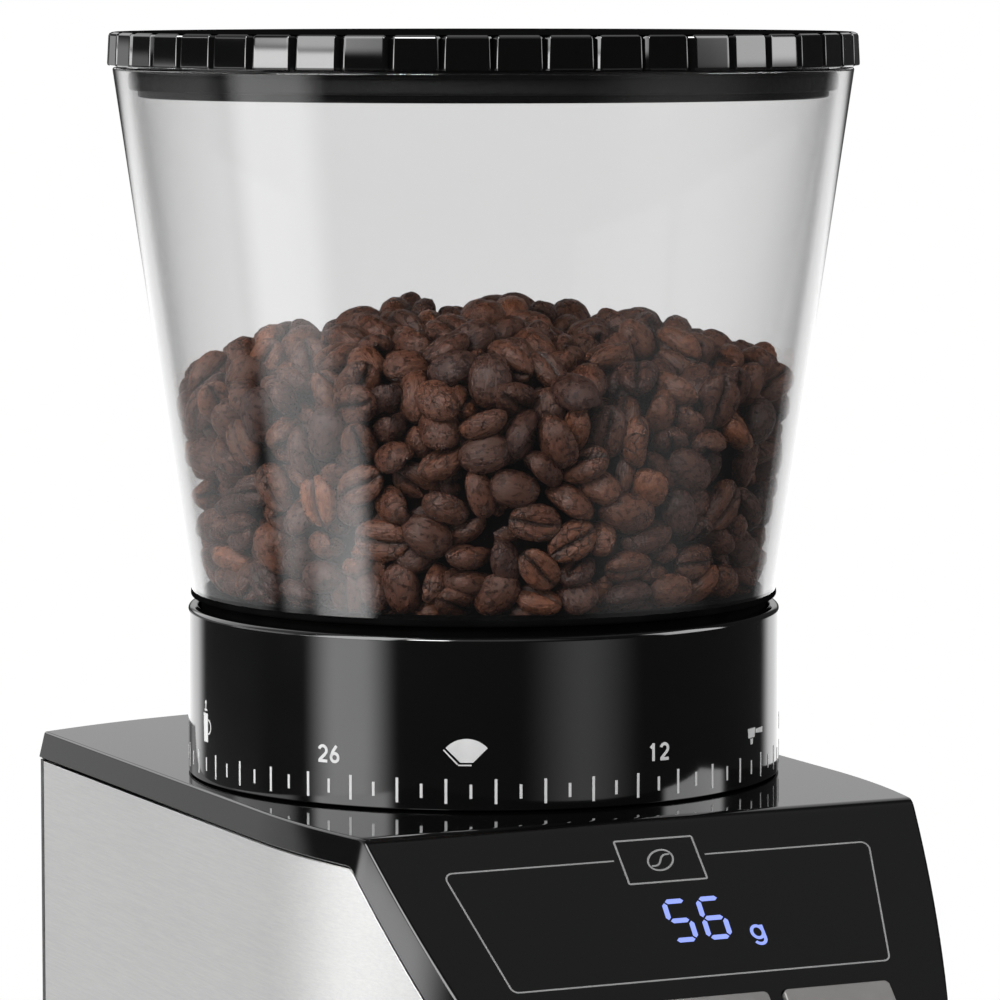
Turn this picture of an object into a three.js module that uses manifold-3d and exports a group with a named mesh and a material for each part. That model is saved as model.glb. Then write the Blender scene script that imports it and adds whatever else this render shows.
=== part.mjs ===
// Burr coffee grinder with a built-in scale, millimetres, +Z up, front towards -Y.
// The origin is the middle of the standing surface under the machine. The burr axis is a vertical
// line a little behind it, and every piece is modelled from that axis in the "machine" group.
import * as THREE from "three";
import { mergeVertices } from "three/addons/utils/BufferGeometryUtils.js";
import Module from "manifold-3d";

const wasm = await Module();
wasm.setup();

// ---- Driving dimensions --------------------------------------------------------------------
const GAP = 0.3; // between pieces that touch
const PLAY = 0.4; // around pieces that slide or turn
const TOP_Z = 240; // top of the cover
const TOTAL_Z = 398; // top of the hopper lid
const FOOT_H = 4;

// Plan of the body, from the burr axis.
const HALF_WIDTH = 67.9;
const REAR_RADIUS = 155;
const REAR_Y = 108.4; // middle of the rear arc
const FLANK_Y = -35; // where the straight sides start to curve in
const FLANK_RADIUS = 200;
const HEAD_FRONT_Y = -126; // corner of flank and nose
const HEAD_NOSE = 5; // how far the head's nose bows out
const BASE_NOSE = 19; // how far the base's nose bows out
const REAR_CORNER_Y = REAR_Y - REAR_RADIUS + Math.sqrt(REAR_RADIUS ** 2 - HALF_WIDTH ** 2);

// Side view of the head.
const SLOPE = THREE.MathUtils.degToRad(46);
const CORNER_Y = -77.5; // sharp corner of top and slope, before rounding
const TOP_ROUND = 4.5;
const PANEL_ROUND = 3;
const BAND = 6; // black band above the steel panels
const SLOPE_LENGTH = 70; // of the top cover
const HEAD_BOTTOM_Z = 168;
const HEAD_LIP_Z = 173.7; // top of the black lip under the steel
const PANEL_FRONT_Y = -116;
const COLUMN_Y = -38; // front of the column
const PANEL_BOTTOM_Z = 10;

// Walls.
const WALL = 3;
const SHEET = 1.2; // steel side panels
const BASE_WALL = 2.5;
const BASE_TOP_Z = 38;

// Grind ring, hopper and lid.
const RING_R = 63.5;
const RING_BORE_R = 61.2;
const RING_H = 36;
const HOPPER_Z = TOP_Z + 38; // underside of the clear bowl
const HOPPER_LOW_R = 62.8;
const HOPPER_TOP_R = 78.5;
const HOPPER_RIM_Z = TOP_Z + 150.6;
const HOPPER_WALL = 2.4;
const LID_R = 80;
const LID_Z = TOP_Z + 150.9;
const LID_BLOCKS = 48;
const LID_GROOVE_DEG = 1.2;
const LID_GROOVE_DEPTH = 0.8;

// Drive train.
const GEAR_MODULE = 1.2;
const GEAR_TEETH = 48;
const PINION_TEETH = 12;
const MOTOR_Y = (GEAR_MODULE * (GEAR_TEETH + PINION_TEETH)) / 2;
const SHAFT_R = 4;
const MOTOR_SHAFT_R = 2.6;
const MOTOR_R = 28;
const BURR_HOUSING_R = 48;
const BURR_FLUTES = 12;

// Buttons on the slope: distance from the slope's top corner, size, and how proud they stand.
const BUTTON_TOP = 43.8;
const BUTTON_W = 24;
const BUTTON_H = 12;
const BUTTON_PITCH = 27.4;
const BUTTON_PROUD = 0.9;
const BUTTON_DEEP = 5.2;
const START_TOP = 59;
const START_W = 42;
const START_H = 8;
const DISPLAY_X = 2.7;
const DISPLAY_T = 25.2;

// Scale and container.
const SCALE_Y = -83;
const SCALE_Z = 42.3;
const BOX_W = 92;
const BOX_D = 80;
const BOX_TOP_Z = 150;
const BOX_WALL = 2.2;
const OUTLET_W = 24; // grounds outlet, across
const OUTLET_Y = [-90, -70];

// ---- Materials -----------------------------------------------------------------------------
const finish = (color, roughness, metalness = 0, opacity = 1) =>
  new THREE.MeshStandardMaterial({
    color,
    roughness,
    metalness,
    opacity,
    transparent: opacity < 1,
  });
const glossBlack = finish(0x0b0b0c, 0.08);
const mattBlack = finish(0x1b1b1d, 0.55);
const brushedSteel = finish(0xc3c3c1, 0.35, 1);
const clearPlastic = finish(0xd9dcdc, 0.05, 0, 0.3);
const rubber = finish(0x151515, 0.85);
const keyGrey = finish(0x84807d, 0.35, 0.4);
const hardSteel = finish(0x9a9a9c, 0.3, 1);
const nylon = finish(0xe4e0d4, 0.5);
const boardGreen = finish(0x1d5a37, 0.5);
const displayBlue = finish(0x1a1c30, 0.2);
const silicone = finish(0x6f7072, 0.7);

// ---- Solids --------------------------------------------------------------------------------
// A manifold-3d solid of a closed three.js geometry.
function solid(geometry) {
  const bare = geometry.clone();
  bare.deleteAttribute("normal");
  bare.deleteAttribute("uv");
  const merged = mergeVertices(bare, 1e-4);
  const corners = merged.index.array;
  const kept = [];
  for (let i = 0; i < corners.length; i += 3) {
    const [a, b, c] = corners.slice(i, i + 3);
    if (a !== b && b !== c && c !== a) kept.push(a, b, c);
  }
  const vertProperties = merged.attributes.position.array;
  const triVerts = new Uint32Array(kept);
  return new wasm.Manifold(new wasm.Mesh({ numProp: 3, vertProperties, triVerts }));
}

function geometryOf(manifold) {
  const mesh = manifold.getMesh();
  const positions = new THREE.BufferAttribute(mesh.vertProperties, mesh.numProp);
  const geometry = new THREE.BufferGeometry().setAttribute("position", positions);
  geometry.setIndex(new THREE.BufferAttribute(mesh.triVerts, 1));
  geometry.computeVertexNormals();
  return geometry;
}

const union = (...solids) => solids.reduce((a, b) => a.add(b));
const without = (body, ...cuts) => cuts.reduce((a, b) => a.subtract(b), body);

function placed(geometry, x = 0, y = 0, z = 0, turn = null) {
  const copy = geometry.clone();
  if (turn) copy.applyMatrix4(turn);
  return solid(copy.translate(x, y, z));
}

const turnX = (angle) => new THREE.Matrix4().makeRotationX(angle);
const turnZ = (angle) => new THREE.Matrix4().makeRotationZ(angle);

// A box given by its low and high corners.
function box([x0, y0, z0], [x1, y1, z1]) {
  const geometry = new THREE.BoxGeometry(x1 - x0, y1 - y0, z1 - z0);
  return placed(geometry, (x0 + x1) / 2, (y0 + y1) / 2, (z0 + z1) / 2);
}

// An upright round bar.
function bar(radius, z0, z1, x = 0, y = 0, sides = 24) {
  const geometry = new THREE.CylinderGeometry(radius, radius, z1 - z0, sides);
  return placed(geometry, x, y, (z0 + z1) / 2, turnX(Math.PI / 2));
}

// A flat outline in plan, raised from z0 to z1.
function prism(shape, z0, z1, curveSegments = 6) {
  const geometry = new THREE.ExtrudeGeometry(shape, {
    depth: z1 - z0,
    bevelEnabled: false,
    curveSegments,
  });
  return placed(geometry, 0, 0, z0);
}

// An outline in the side view, whose x and y are the machine's Y and Z, from x0 to x1 across.
function sidePrism(shape, x0, x1, curveSegments = 4) {
  const geometry = new THREE.ExtrudeGeometry(shape, {
    depth: x1 - x0,
    bevelEnabled: false,
    curveSegments,
  });
  const across = new THREE.Vector3(1, 0, 0);
  const back = new THREE.Vector3(0, 1, 0);
  const up = new THREE.Vector3(0, 0, 1);
  return placed(geometry, x0, 0, 0, new THREE.Matrix4().makeBasis(back, up, across));
}

// A turned piece about the vertical axis: [radius, z] corners, anticlockwise with z upwards.
function turned(profile, sides = 40) {
  const points = [...profile, profile[0]].map(([r, z]) => new THREE.Vector2(r, z));
  return placed(new THREE.LatheGeometry(points, sides), 0, 0, 0, turnX(Math.PI / 2));
}

// A flat ring: a turned piece with a rectangular section.
function hoop(r0, r1, z0, z1, sides = 28) {
  const section = [
    [r0, z0],
    [r1, z0],
    [r1, z1],
    [r0, z1],
  ];
  return turned(section, sides);
}

const outline = (points) => new THREE.Shape(points.map(([a, b]) => new THREE.Vector2(a, b)));

function roundedRect(width, height, radius, cx = 0, cy = 0) {
  const [w, h] = [width / 2 - radius, height / 2 - radius];
  const quarter = Math.PI / 2;
  const shape = new THREE.Shape();
  shape.moveTo(cx + w + radius, cy - h);
  shape.absarc(cx + w, cy + h, radius, 0, quarter);
  shape.absarc(cx - w, cy + h, radius, quarter, 2 * quarter);
  shape.absarc(cx - w, cy - h, radius, 2 * quarter, 3 * quarter);
  shape.absarc(cx + w, cy - h, radius, 3 * quarter, 4 * quarter);
  return shape;
}

// A closed solid through equal loops of points, one above the other, with flat ends.
function loft(loops) {
  const count = loops[0].length;
  const index = [];
  loops.slice(1).forEach((_, level) => {
    for (let i = 0; i < count; i++) {
      const a = level * count + i;
      const b = level * count + ((i + 1) % count);
      index.push(a, b, b + count, a, b + count, a + count);
    }
  });
  const flat = (loop) => loop.map((p) => new THREE.Vector2(p.x, p.y));
  const last = (loops.length - 1) * count;
  THREE.ShapeUtils.triangulateShape(flat(loops[0]), []).forEach(([a, b, c]) => index.push(c, b, a));
  THREE.ShapeUtils.triangulateShape(flat(loops.at(-1)), []).forEach(([a, b, c]) =>
    index.push(last + a, last + b, last + c),
  );
  const geometry = new THREE.BufferGeometry().setFromPoints(loops.flat());
  return solid(geometry.setIndex(index));
}

// ---- Body outlines -------------------------------------------------------------------------
// The plan of the body, moved in by inset, with a nose that bows out at the front.
function plan(inset, nose) {
  const side = HALF_WIDTH - inset;
  const flankX = HALF_WIDTH - FLANK_RADIUS;
  const flankR = FLANK_RADIUS - inset;
  const front = HEAD_FRONT_Y + inset;
  const sweep = Math.asin((FLANK_Y - front) / flankR);
  const frontX = flankX + flankR * Math.cos(sweep);
  const noseR = (frontX ** 2 + nose ** 2) / (2 * nose);
  const noseY = front - nose + noseR;
  const rearR = REAR_RADIUS - inset;
  const rearAngle = Math.acos(side / rearR);
  const shape = new THREE.Shape();
  shape.moveTo(side, FLANK_Y);
  shape.absarc(0, REAR_Y - REAR_RADIUS, rearR, rearAngle, Math.PI - rearAngle);
  shape.absarc(-flankX, FLANK_Y, flankR, Math.PI, Math.PI + sweep);
  const noseStart = Math.atan2(front - noseY, -frontX);
  const noseEnd = Math.atan2(front - noseY, frontX);
  shape.absarc(0, noseY, noseR, noseStart, noseEnd);
  shape.absarc(flankX, FLANK_Y, flankR, -sweep, 0);
  return shape;
}

// A point of the slope, t down from its top corner and depth below its surface, as [y, z].
function slopePoint(t, depth) {
  const y = CORNER_Y - t * Math.cos(SLOPE) + depth * Math.sin(SLOPE);
  return [y, TOP_Z - t * Math.sin(SLOPE) - depth * Math.cos(SLOPE)];
}

// Height of the slope, moved in by depth, at a given y.
function slopeZ(y, depth) {
  const t = (CORNER_Y + depth * Math.sin(SLOPE) - y) / Math.cos(SLOPE);
  return slopePoint(t, depth)[1];
}

const FAR_BACK = REAR_Y + 10;

// Starts an outline at the back of the top face and follows it round the corner.
function alongTop(shape, depth, round) {
  const y = CORNER_Y + (depth + round) * Math.tan(SLOPE / 2);
  const up = Math.PI / 2;
  shape.moveTo(FAR_BACK, TOP_Z - depth);
  shape.lineTo(y, TOP_Z - depth);
  shape.absarc(y, TOP_Z - depth - round, round, up, up + SLOPE);
  return shape;
}

// Everything below the top and slope, moved in by depth.
function underTop(depth, round) {
  const shape = alongTop(new THREE.Shape(), depth, round);
  const [y] = slopePoint(130, depth);
  shape.lineTo(...slopePoint(130, depth));
  shape.lineTo(y, 0);
  shape.lineTo(FAR_BACK, 0);
  return sidePrism(shape, -100, 100);
}

// The band between the top surface and the steel panels, which the cover fills.
function coverBand() {
  const shape = alongTop(new THREE.Shape(), 0, TOP_ROUND);
  shape.lineTo(...slopePoint(SLOPE_LENGTH, 0));
  shape.lineTo(...slopePoint(SLOPE_LENGTH, BAND));
  const y = CORNER_Y + (BAND + PANEL_ROUND) * Math.tan(SLOPE / 2);
  const up = Math.PI / 2;
  shape.absarc(y, TOP_Z - BAND - PANEL_ROUND, PANEL_ROUND, up + SLOPE, up, true);
  shape.lineTo(FAR_BACK, TOP_Z - BAND);
  return sidePrism(shape, -100, 100);
}

// ---- Groups --------------------------------------------------------------------------------
const grinder = new THREE.Group();
const machine = new THREE.Group();
machine.position.y = (BASE_NOSE - HEAD_FRONT_Y - REAR_Y) / 2;
grinder.add(machine);

// The slope's own frame: x across, y up the slope, z out of it, from its top corner.
const slopeFrame = new THREE.Group();
slopeFrame.position.set(0, CORNER_Y, TOP_Z);
slopeFrame.rotation.x = SLOPE;
machine.add(slopeFrame);

function add(name, body, material, parent = machine) {
  const mesh = new THREE.Mesh(geometryOf(body), material);
  mesh.name = name;
  parent.add(mesh);
  return mesh;
}

// The slope's own frame as a matrix, for cuts made in the cover.
const slopeMatrix = new THREE.Matrix4().makeRotationX(SLOPE).setPosition(0, CORNER_Y, TOP_Z);

// ---- Base ----------------------------------------------------------------------------------
const FEET = {
  rear_left: [-50, 78],
  rear_right: [50, 78],
  front_left: [-34, -112],
  front_right: [34, -112],
};
const SCREWS = {
  rear_left: [-48, 52],
  rear_right: [48, 52],
  front_left: [-46, -88],
  front_right: [46, -88],
};
const PLATE_Z = FOOT_H + GAP;
const PLATE_TOP_Z = PLATE_Z + 3;

function addBase() {
  Object.entries(FEET).forEach(([place, [x, y]]) => {
    add("foot_" + place, bar(9, 0, FOOT_H, x, y, 24), rubber);
  });
  const holes = Object.values(SCREWS).map(([x, y]) => bar(2.4, 0, 20, x, y, 16));
  const cellBoss = box([-8, -58, PLATE_TOP_Z - 1], [8, -44, 13.7]);
  const plate = union(prism(plan(WALL, BASE_NOSE), PLATE_Z, PLATE_TOP_Z), cellBoss);
  add("base_plate", without(plate, ...holes), mattBlack);

  Object.entries(SCREWS).forEach(([place, [x, y]]) => {
    const screw = union(bar(3.8, 1.8, FOOT_H, x, y, 16), bar(2, FOOT_H - 1, 18, x, y, 16));
    add("base_screw_" + place, screw, hardSteel);
  });
  addBaseHousing();
  addScale();
}

function addBaseHousing() {
  const room = box([-100, -200, 8], [100, COLUMN_Y - GAP, BASE_TOP_Z]);
  const outside = prism(plan(0, BASE_NOSE), 8, BASE_TOP_Z).intersect(room);
  const inside = prism(plan(BASE_WALL, BASE_NOSE), 7, BASE_TOP_Z - BASE_WALL);
  const front = [SCREWS.front_left, SCREWS.front_right];
  const bosses = front.map(([x, y]) => bar(4.5, 8, BASE_TOP_Z - 1, x, y, 20));
  const bores = front.map(([x, y]) => bar(2.3, 7, 24, x, y, 16));
  const shell = union(without(outside, inside), ...bosses);
  add("base_housing", without(shell, bar(8, 30, 50, 0, SCALE_Y), ...bores), glossBlack);
}

function addScale() {
  const cell = box([-6, -93, 14], [6, -44, 26]);
  const waist = bar(4.5, 10, 30, 0, 0, 20);
  const window = solid(geometryOf(waist).rotateY(Math.PI / 2).translate(-20, -68, 20));
  add("load_cell", without(cell, window), hardSteel);
  const top = prism(roundedRect(BOX_W + 2, BOX_D + 2, 12, 0, SCALE_Y), SCALE_Z - 3, SCALE_Z);
  add("scale_plate", union(top, bar(6, 27, SCALE_Z - 1, 0, SCALE_Y, 24)), brushedSteel);
}

// ---- Body shells ---------------------------------------------------------------------------
function addTopCover() {
  const outside = prism(plan(GAP, HEAD_NOSE), 150, 260).intersect(coverBand());
  const inside = prism(plan(WALL, HEAD_NOSE), 150, 260).intersect(underTop(WALL, TOP_ROUND - 1));
  const cuts = ALL_KEYS.map(([x, t, w, h]) => keyHole(x, t, w, h));
  const neckHole = bar(BURR_HOUSING_R + 1.5, TOP_Z - 20, TOP_Z + 20, 0, 0, 40);
  add("top_cover", without(outside, inside, neckHole, ...cuts), glossBlack);
}

function addSidePanels() {
  const strip = without(
    prism(plan(0, HEAD_NOSE), PANEL_BOTTOM_Z, TOP_Z),
    prism(plan(SHEET, HEAD_NOSE), 0, TOP_Z + 10),
  );
  const half = box([20, PANEL_FRONT_Y, 0], [100, REAR_CORNER_Y - 2, TOP_Z]);
  const cavity = box([0, -200, 0], [100, COLUMN_Y, HEAD_LIP_Z + GAP]);
  const panel = without(strip.intersect(half).intersect(underTop(BAND + GAP, PANEL_ROUND)), cavity);
  add("right_side_panel", panel, brushedSteel);
  add("left_side_panel", panel, brushedSteel).scale.x = -1;
}

function addRearCover() {
  const outside = prism(plan(GAP, HEAD_NOSE), PANEL_BOTTOM_Z, TOP_Z - BAND - GAP);
  const inside = prism(plan(BASE_WALL + GAP, HEAD_NOSE), 0, TOP_Z);
  const back = box([-100, REAR_CORNER_Y - 1.7, 0], [100, FAR_BACK, TOP_Z]);
  const cuts = [inside, inletHole(8.3)];
  for (let i = 0; i < 5; i++) {
    const z = 96 + 12 * i;
    cuts.push(box([-24, 80, z], [24, FAR_BACK, z + 3.5]));
  }
  add("rear_cover", without(outside.intersect(back), ...cuts), mattBlack);
  const gland = inletHole(8).intersect(box([0, REAR_Y - 12, 0], [60, REAR_Y - 4, 60]));
  add("cord_inlet", without(gland, inletHole(3.6)), rubber);
}

// A round bar through the rear wall, low on the right.
function inletHole(radius) {
  const geometry = new THREE.CylinderGeometry(radius, radius, 60, 24);
  return placed(geometry, 28, REAR_Y - 10, 28);
}

function addColumnCover() {
  const x = HALF_WIDTH - SHEET - 2 * GAP;
  const wall = box([-x, COLUMN_Y, BASE_TOP_Z + GAP], [x, COLUMN_Y + BASE_WALL, HEAD_LIP_Z]);
  add("column_cover", wall, mattBlack);
}

function addHeadHousing() {
  const back = COLUMN_Y - GAP;
  const shape = outline([
    [back, HEAD_BOTTOM_Z],
    [back, HEAD_LIP_Z],
    [PANEL_FRONT_Y - GAP, HEAD_LIP_Z],
    [PANEL_FRONT_Y - GAP, slopeZ(PANEL_FRONT_Y - GAP, BAND + GAP)],
    slopePoint(SLOPE_LENGTH + GAP, BAND + GAP),
    slopePoint(SLOPE_LENGTH + GAP, -5),
    [-160, HEAD_BOTTOM_Z + 20],
    [-160, HEAD_BOTTOM_Z],
  ]);
  const outside = prism(plan(0, HEAD_NOSE), 100, 260).intersect(underTop(0, TOP_ROUND));
  const inside = prism(plan(WALL, HEAD_NOSE), HEAD_BOTTOM_Z + WALL, 260);
  const outlet = box([-OUTLET_W / 2, OUTLET_Y[0], 100], [OUTLET_W / 2, OUTLET_Y[1], 200]);
  const shell = outside.intersect(sidePrism(shape, -100, 100));
  add("head_housing", without(shell, inside.intersect(underTop(WALL, 3)), outlet), glossBlack);
}

// ---- Inner frame, motor and gearbox --------------------------------------------------------
const DECK_Z = 155; // deck that the gearbox stands on
const MOTOR_DECK_Z = 81; // deck that the motor stands on

function addInnerFrame() {
  const side = outline([
    [-30, 7.6],
    [80, 7.6],
    [80, 232],
    [-56, 232],
    [-56, 190],
    [-30, 172],
  ]);
  const windowShape = (z0, z1) => box([-100, -10, z0], [100, 66, z1]);
  const wallX = 60;
  const walls = [-wallX - 3, wallX].map((x) => sidePrism(side, x, x + 3));
  const underside = box([-100, -30, 0], [100, 120, 20]);
  const floor = prism(plan(5, HEAD_NOSE), 7.6, 10.6).intersect(underside);
  const deck = (z) => box([-wallX - 1, -30, z], [wallX + 1, 80, z + 3]);
  const rear = [SCREWS.rear_left, SCREWS.rear_right];
  const bosses = rear.map(([x, y]) => bar(4.5, 8, 26, x, y, 20));
  const bores = rear.map(([x, y]) => bar(2.3, 5, 24, x, y, 16));
  const open = [windowShape(24, 74), windowShape(92, 146), windowShape(168, 222)];
  const openWalls = walls.map((wall) => without(wall, ...open));
  const frame = union(...openWalls, floor, deck(DECK_Z), deck(MOTOR_DECK_Z), ...bosses);
  const shaftHoles = [bar(7, 140, 170), bar(20, 140, 170, 0, MOTOR_Y), bar(12, 70, 90, 0, MOTOR_Y)];
  add("inner_frame", without(frame, ...shaftHoles, ...bores), mattBlack);
}

// The gearbox outline: a round about each shaft, joined by their common tangents.
function gearboxPlan(bigR, smallR) {
  const lean = Math.asin((bigR - smallR) / MOTOR_Y);
  const shape = new THREE.Shape();
  shape.absarc(0, 0, bigR, Math.PI - lean, 2 * Math.PI + lean);
  shape.absarc(0, MOTOR_Y, smallR, lean, Math.PI - lean);
  return shape;
}

function addGearbox() {
  const z = DECK_Z + 3 + GAP;
  const tray = prism(gearboxPlan(34, 14), z, 180, 12);
  const room = prism(gearboxPlan(31.5, 11.5), z + 3, 200, 12);
  const pockets = [bar(11.3, 150, 200), bar(4, 150, 200, 0, MOTOR_Y, 20)];
  add("gearbox_housing", without(tray, room, ...pockets), mattBlack);
  const lid = union(prism(gearboxPlan(34, 14), 180.3, 183.3, 12), bar(14.5, 183, 186.7));
  add("gearbox_cover", without(lid, bar(11.3, 170, 200)), mattBlack);
  add("lower_bearing", hoop(SHAFT_R + GAP, 11, 158.6, 165.6, 32), hardSteel);
  add("upper_bearing", hoop(SHAFT_R + GAP, 11, 179.5, 186.5, 32), hardSteel);
}

// A spur gear about the axis, with straight-flanked teeth; one tooth points along angle "first".
function spurGear(teeth, z0, z1, boreR, first) {
  const pitchR = (GEAR_MODULE * teeth) / 2;
  const half = Math.PI / teeth;
  const corners = [
    [pitchR - 1.5, -0.7],
    [pitchR + 1.05, -0.23],
    [pitchR + 1.05, 0.23],
    [pitchR - 1.5, 0.7],
  ];
  const points = [];
  for (let i = 0; i < teeth; i++) {
    corners.forEach(([r, side]) => {
      const a = first + half * (2 * i + side);
      points.push([r * Math.cos(a), r * Math.sin(a)]);
    });
  }
  return without(prism(outline(points), z0, z1), bar(boreR, z0 - 1, z1 + 1, 0, 0, 24));
}

function addDrive() {
  const up = Math.PI / 2;
  add("drive_shaft", bar(SHAFT_R, 150, 240, 0, 0, 24), hardSteel);
  add("drive_gear", spurGear(GEAR_TEETH, 167, 177, SHAFT_R + GAP, up), nylon);
  const outwards = new THREE.Matrix4().makeTranslation(24, 0, 196.5);
  const paddle = new THREE.BoxGeometry(30, 3, 5).applyMatrix4(outwards);
  const paddles = [0, 1, 2, 3].map((i) => placed(paddle, 0, 0, 0, turnZ(i * up)));
  const disc = bar(40, 191.5, 194.5, 0, 0, 36);
  const hub = bar(11, 192, 199, 0, 0, 24);
  const shaftHole = bar(SHAFT_R + GAP, 100, 300, 0, 0, 24);
  add("impeller", without(union(disc, hub, ...paddles), shaftHole), mattBlack);
  add("lower_burr", without(burrCone(22.4, 12, 199.5, 232, 0.88), shaftHole), hardSteel);
  add("shaft_nut", without(bar(8, 232.3, 238, 0, 0, 6), shaftHole), hardSteel);

  addRotor();
}

// The motor's turning parts: shaft, pinion in mesh with the gear, and fan.
function addRotor() {
  const spindle = new THREE.Group();
  spindle.position.y = MOTOR_Y;
  machine.add(spindle);
  add("motor_shaft", bar(MOTOR_SHAFT_R, 66, 178, 0, 0, 20), hardSteel, spindle);
  const gapPhase = -Math.PI / 2 + Math.PI / PINION_TEETH;
  const bore = MOTOR_SHAFT_R + GAP;
  add("pinion", spurGear(PINION_TEETH, 167, 177, bore, gapPhase), hardSteel, spindle);
  const outwards = new THREE.Matrix4().makeTranslation(12.5, 0, 74);
  const blade = new THREE.BoxGeometry(15, 1.6, 7).applyMatrix4(outwards);
  const sixth = Math.PI / 3;
  const blades = [0, 1, 2, 3, 4, 5].map((i) => placed(blade, 0, 0, 0, turnZ(i * sixth)));
  const disc = bar(22, 69, 71, 0, 0, 32);
  const fan = union(bar(7, 69, 78, 0, 0, 20), disc, ...blades);
  add("cooling_fan", without(fan, bar(bore, 60, 90, 0, 0, 20)), mattBlack, spindle);
}

// A cone with twisted flutes, narrower upwards; "deep" is the flute's radius as a share.
function burrCone(lowR, highR, z0, z1, deep, out = 0) {
  const levels = 2;
  const twist = 0.5;
  const loops = [];
  for (let k = 0; k <= levels; k++) {
    const share = k / levels;
    const radius = THREE.MathUtils.lerp(lowR, highR, share) + out;
    const loop = [];
    for (let i = 0; i < 2 * BURR_FLUTES; i++) {
      const angle = (i * Math.PI) / BURR_FLUTES + twist * share;
      const r = i % 2 ? radius * deep : radius;
      const z = z0 + share * (z1 - z0);
      loop.push(new THREE.Vector3(r * Math.cos(angle), r * Math.sin(angle), z));
    }
    loops.push(loop);
  }
  return loft(loops);
}

function addMotor() {
  const can = [
    [MOTOR_SHAFT_R + PLAY, 88],
    [MOTOR_R, 88],
    [MOTOR_R, 150],
    [24, DECK_Z - GAP],
    [MOTOR_SHAFT_R + PLAY, DECK_Z - GAP],
  ];
  const atMotor = new THREE.Group();
  atMotor.position.y = MOTOR_Y;
  machine.add(atMotor);
  add("motor", turned(can, 32), hardSteel, atMotor);
  add("motor_damper", hoop(16, 27, MOTOR_DECK_Z + 3 + GAP, 88 - GAP, 32), rubber, atMotor);
}

// ---- Burrs, chute and boards ---------------------------------------------------------------
function addBurrHousing() {
  const wall = BURR_HOUSING_R - 3;
  const cup = turned([
    [12, 187],
    [BURR_HOUSING_R, 187],
    [BURR_HOUSING_R, 246],
    [wall, 246],
    [wall, 190],
    [12, 190],
  ]);
  const mouth = box([-OUTLET_W / 2, -60, 190], [OUTLET_W / 2, -30, 205.5]);
  add("burr_housing", without(cup, mouth), mattBlack);

  const tube = outline([
    [-49, 188],
    [-49, 207.5],
    [-74, 207.5],
    [-92, 192],
    [-92, HEAD_BOTTOM_Z + WALL + GAP],
    [-68, HEAD_BOTTOM_Z + WALL + GAP],
    [-68, 182],
    [-62, 188],
  ]);
  const bore = outline([
    [-40, 190],
    [-40, 205.5],
    [-73.2, 205.5],
    [-90, 191],
    [-90, 160],
    [-70, 160],
    [-70, 182.8],
    [-62.8, 190],
  ]);
  const half = OUTLET_W / 2;
  const chute = without(sidePrism(tube, -half - 2, half + 2), sidePrism(bore, -half, half));
  add("grounds_chute", without(chute, bar(BURR_HOUSING_R + GAP, 180, 220)), mattBlack);
}

function addCarrier() {
  const body = turned([
    [30.4, 206],
    [34, 206],
    [34, 228],
    [44.6, 228],
    [44.6, 246],
    [41.6, 246],
    [41.6, 231],
    [27, 231],
    [27, 228],
    [30.4, 228],
  ]);
  const key = (side) => box([34, side * 12 - 2, 230], [42, side * 12 + 2, 242]);
  add("burr_carrier", union(body, key(1), key(-1)), mattBlack);
  const burr = bar(30, 207, 227.5, 0, 0, 36);
  add("upper_burr", without(burr, burrCone(25, 27.5, 200, 235, 0.95)), hardSteel);
}

function addBoards() {
  const board = box([-38, -66, -12], [38, -8, -10.4]);
  const switches = ALL_KEYS.map(([x, t, , h]) => {
    const y = -t - h / 2;
    return box([x - 3, y - 3, -11], [x + 3, y + 3, -6.9]);
  });
  add("control_board", union(board, ...switches), boardGreen, slopeFrame);
  const low = [DISPLAY_X - 23, -DISPLAY_T - 9, -10.1];
  const high = [DISPLAY_X + 23, -DISPLAY_T + 9, -WALL - 0.6];
  add("display_module", box(low, high), displayBlue, slopeFrame);

  const mainBoard = box([-32, 86, 30], [32, 87.6, 78]);
  const transformer = box([-24, 68, 34], [4, 86.5, 62]);
  const relay = box([12, 74, 36], [26, 86.5, 52]);
  add("main_board", union(mainBoard, transformer, relay), boardGreen);
  add("hopper_switch", box([-10, 58, 226], [10, 66, 236.5]), mattBlack);
}

// ---- Buttons -------------------------------------------------------------------------------
const KEYS = {
  left_button: [-BUTTON_PITCH, BUTTON_TOP, BUTTON_W, BUTTON_H],
  middle_button: [0, BUTTON_TOP, BUTTON_W, BUTTON_H],
  right_button: [BUTTON_PITCH, BUTTON_TOP, BUTTON_W, BUTTON_H],
  start_button: [0, START_TOP, START_W, START_H],
};
const ALL_KEYS = Object.values(KEYS);

function keyHole(x, t, width, height) {
  const shape = roundedRect(width + 2 * PLAY, height + 2 * PLAY, 1.6, x, -t - height / 2);
  const extrusion = { depth: 14, bevelEnabled: false, curveSegments: 4 };
  const geometry = new THREE.ExtrudeGeometry(shape, extrusion);
  return solid(geometry.translate(0, 0, -7).applyMatrix4(slopeMatrix));
}

function addButtons() {
  Object.entries(KEYS).forEach(([name, [x, t, width, height]]) => {
    const outlined = roundedRect(width, height, 1.2, x, -t - height / 2);
    add(name, prism(outlined, -BUTTON_DEEP, BUTTON_PROUD, 4), keyGrey, slopeFrame);
  });
}

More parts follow.
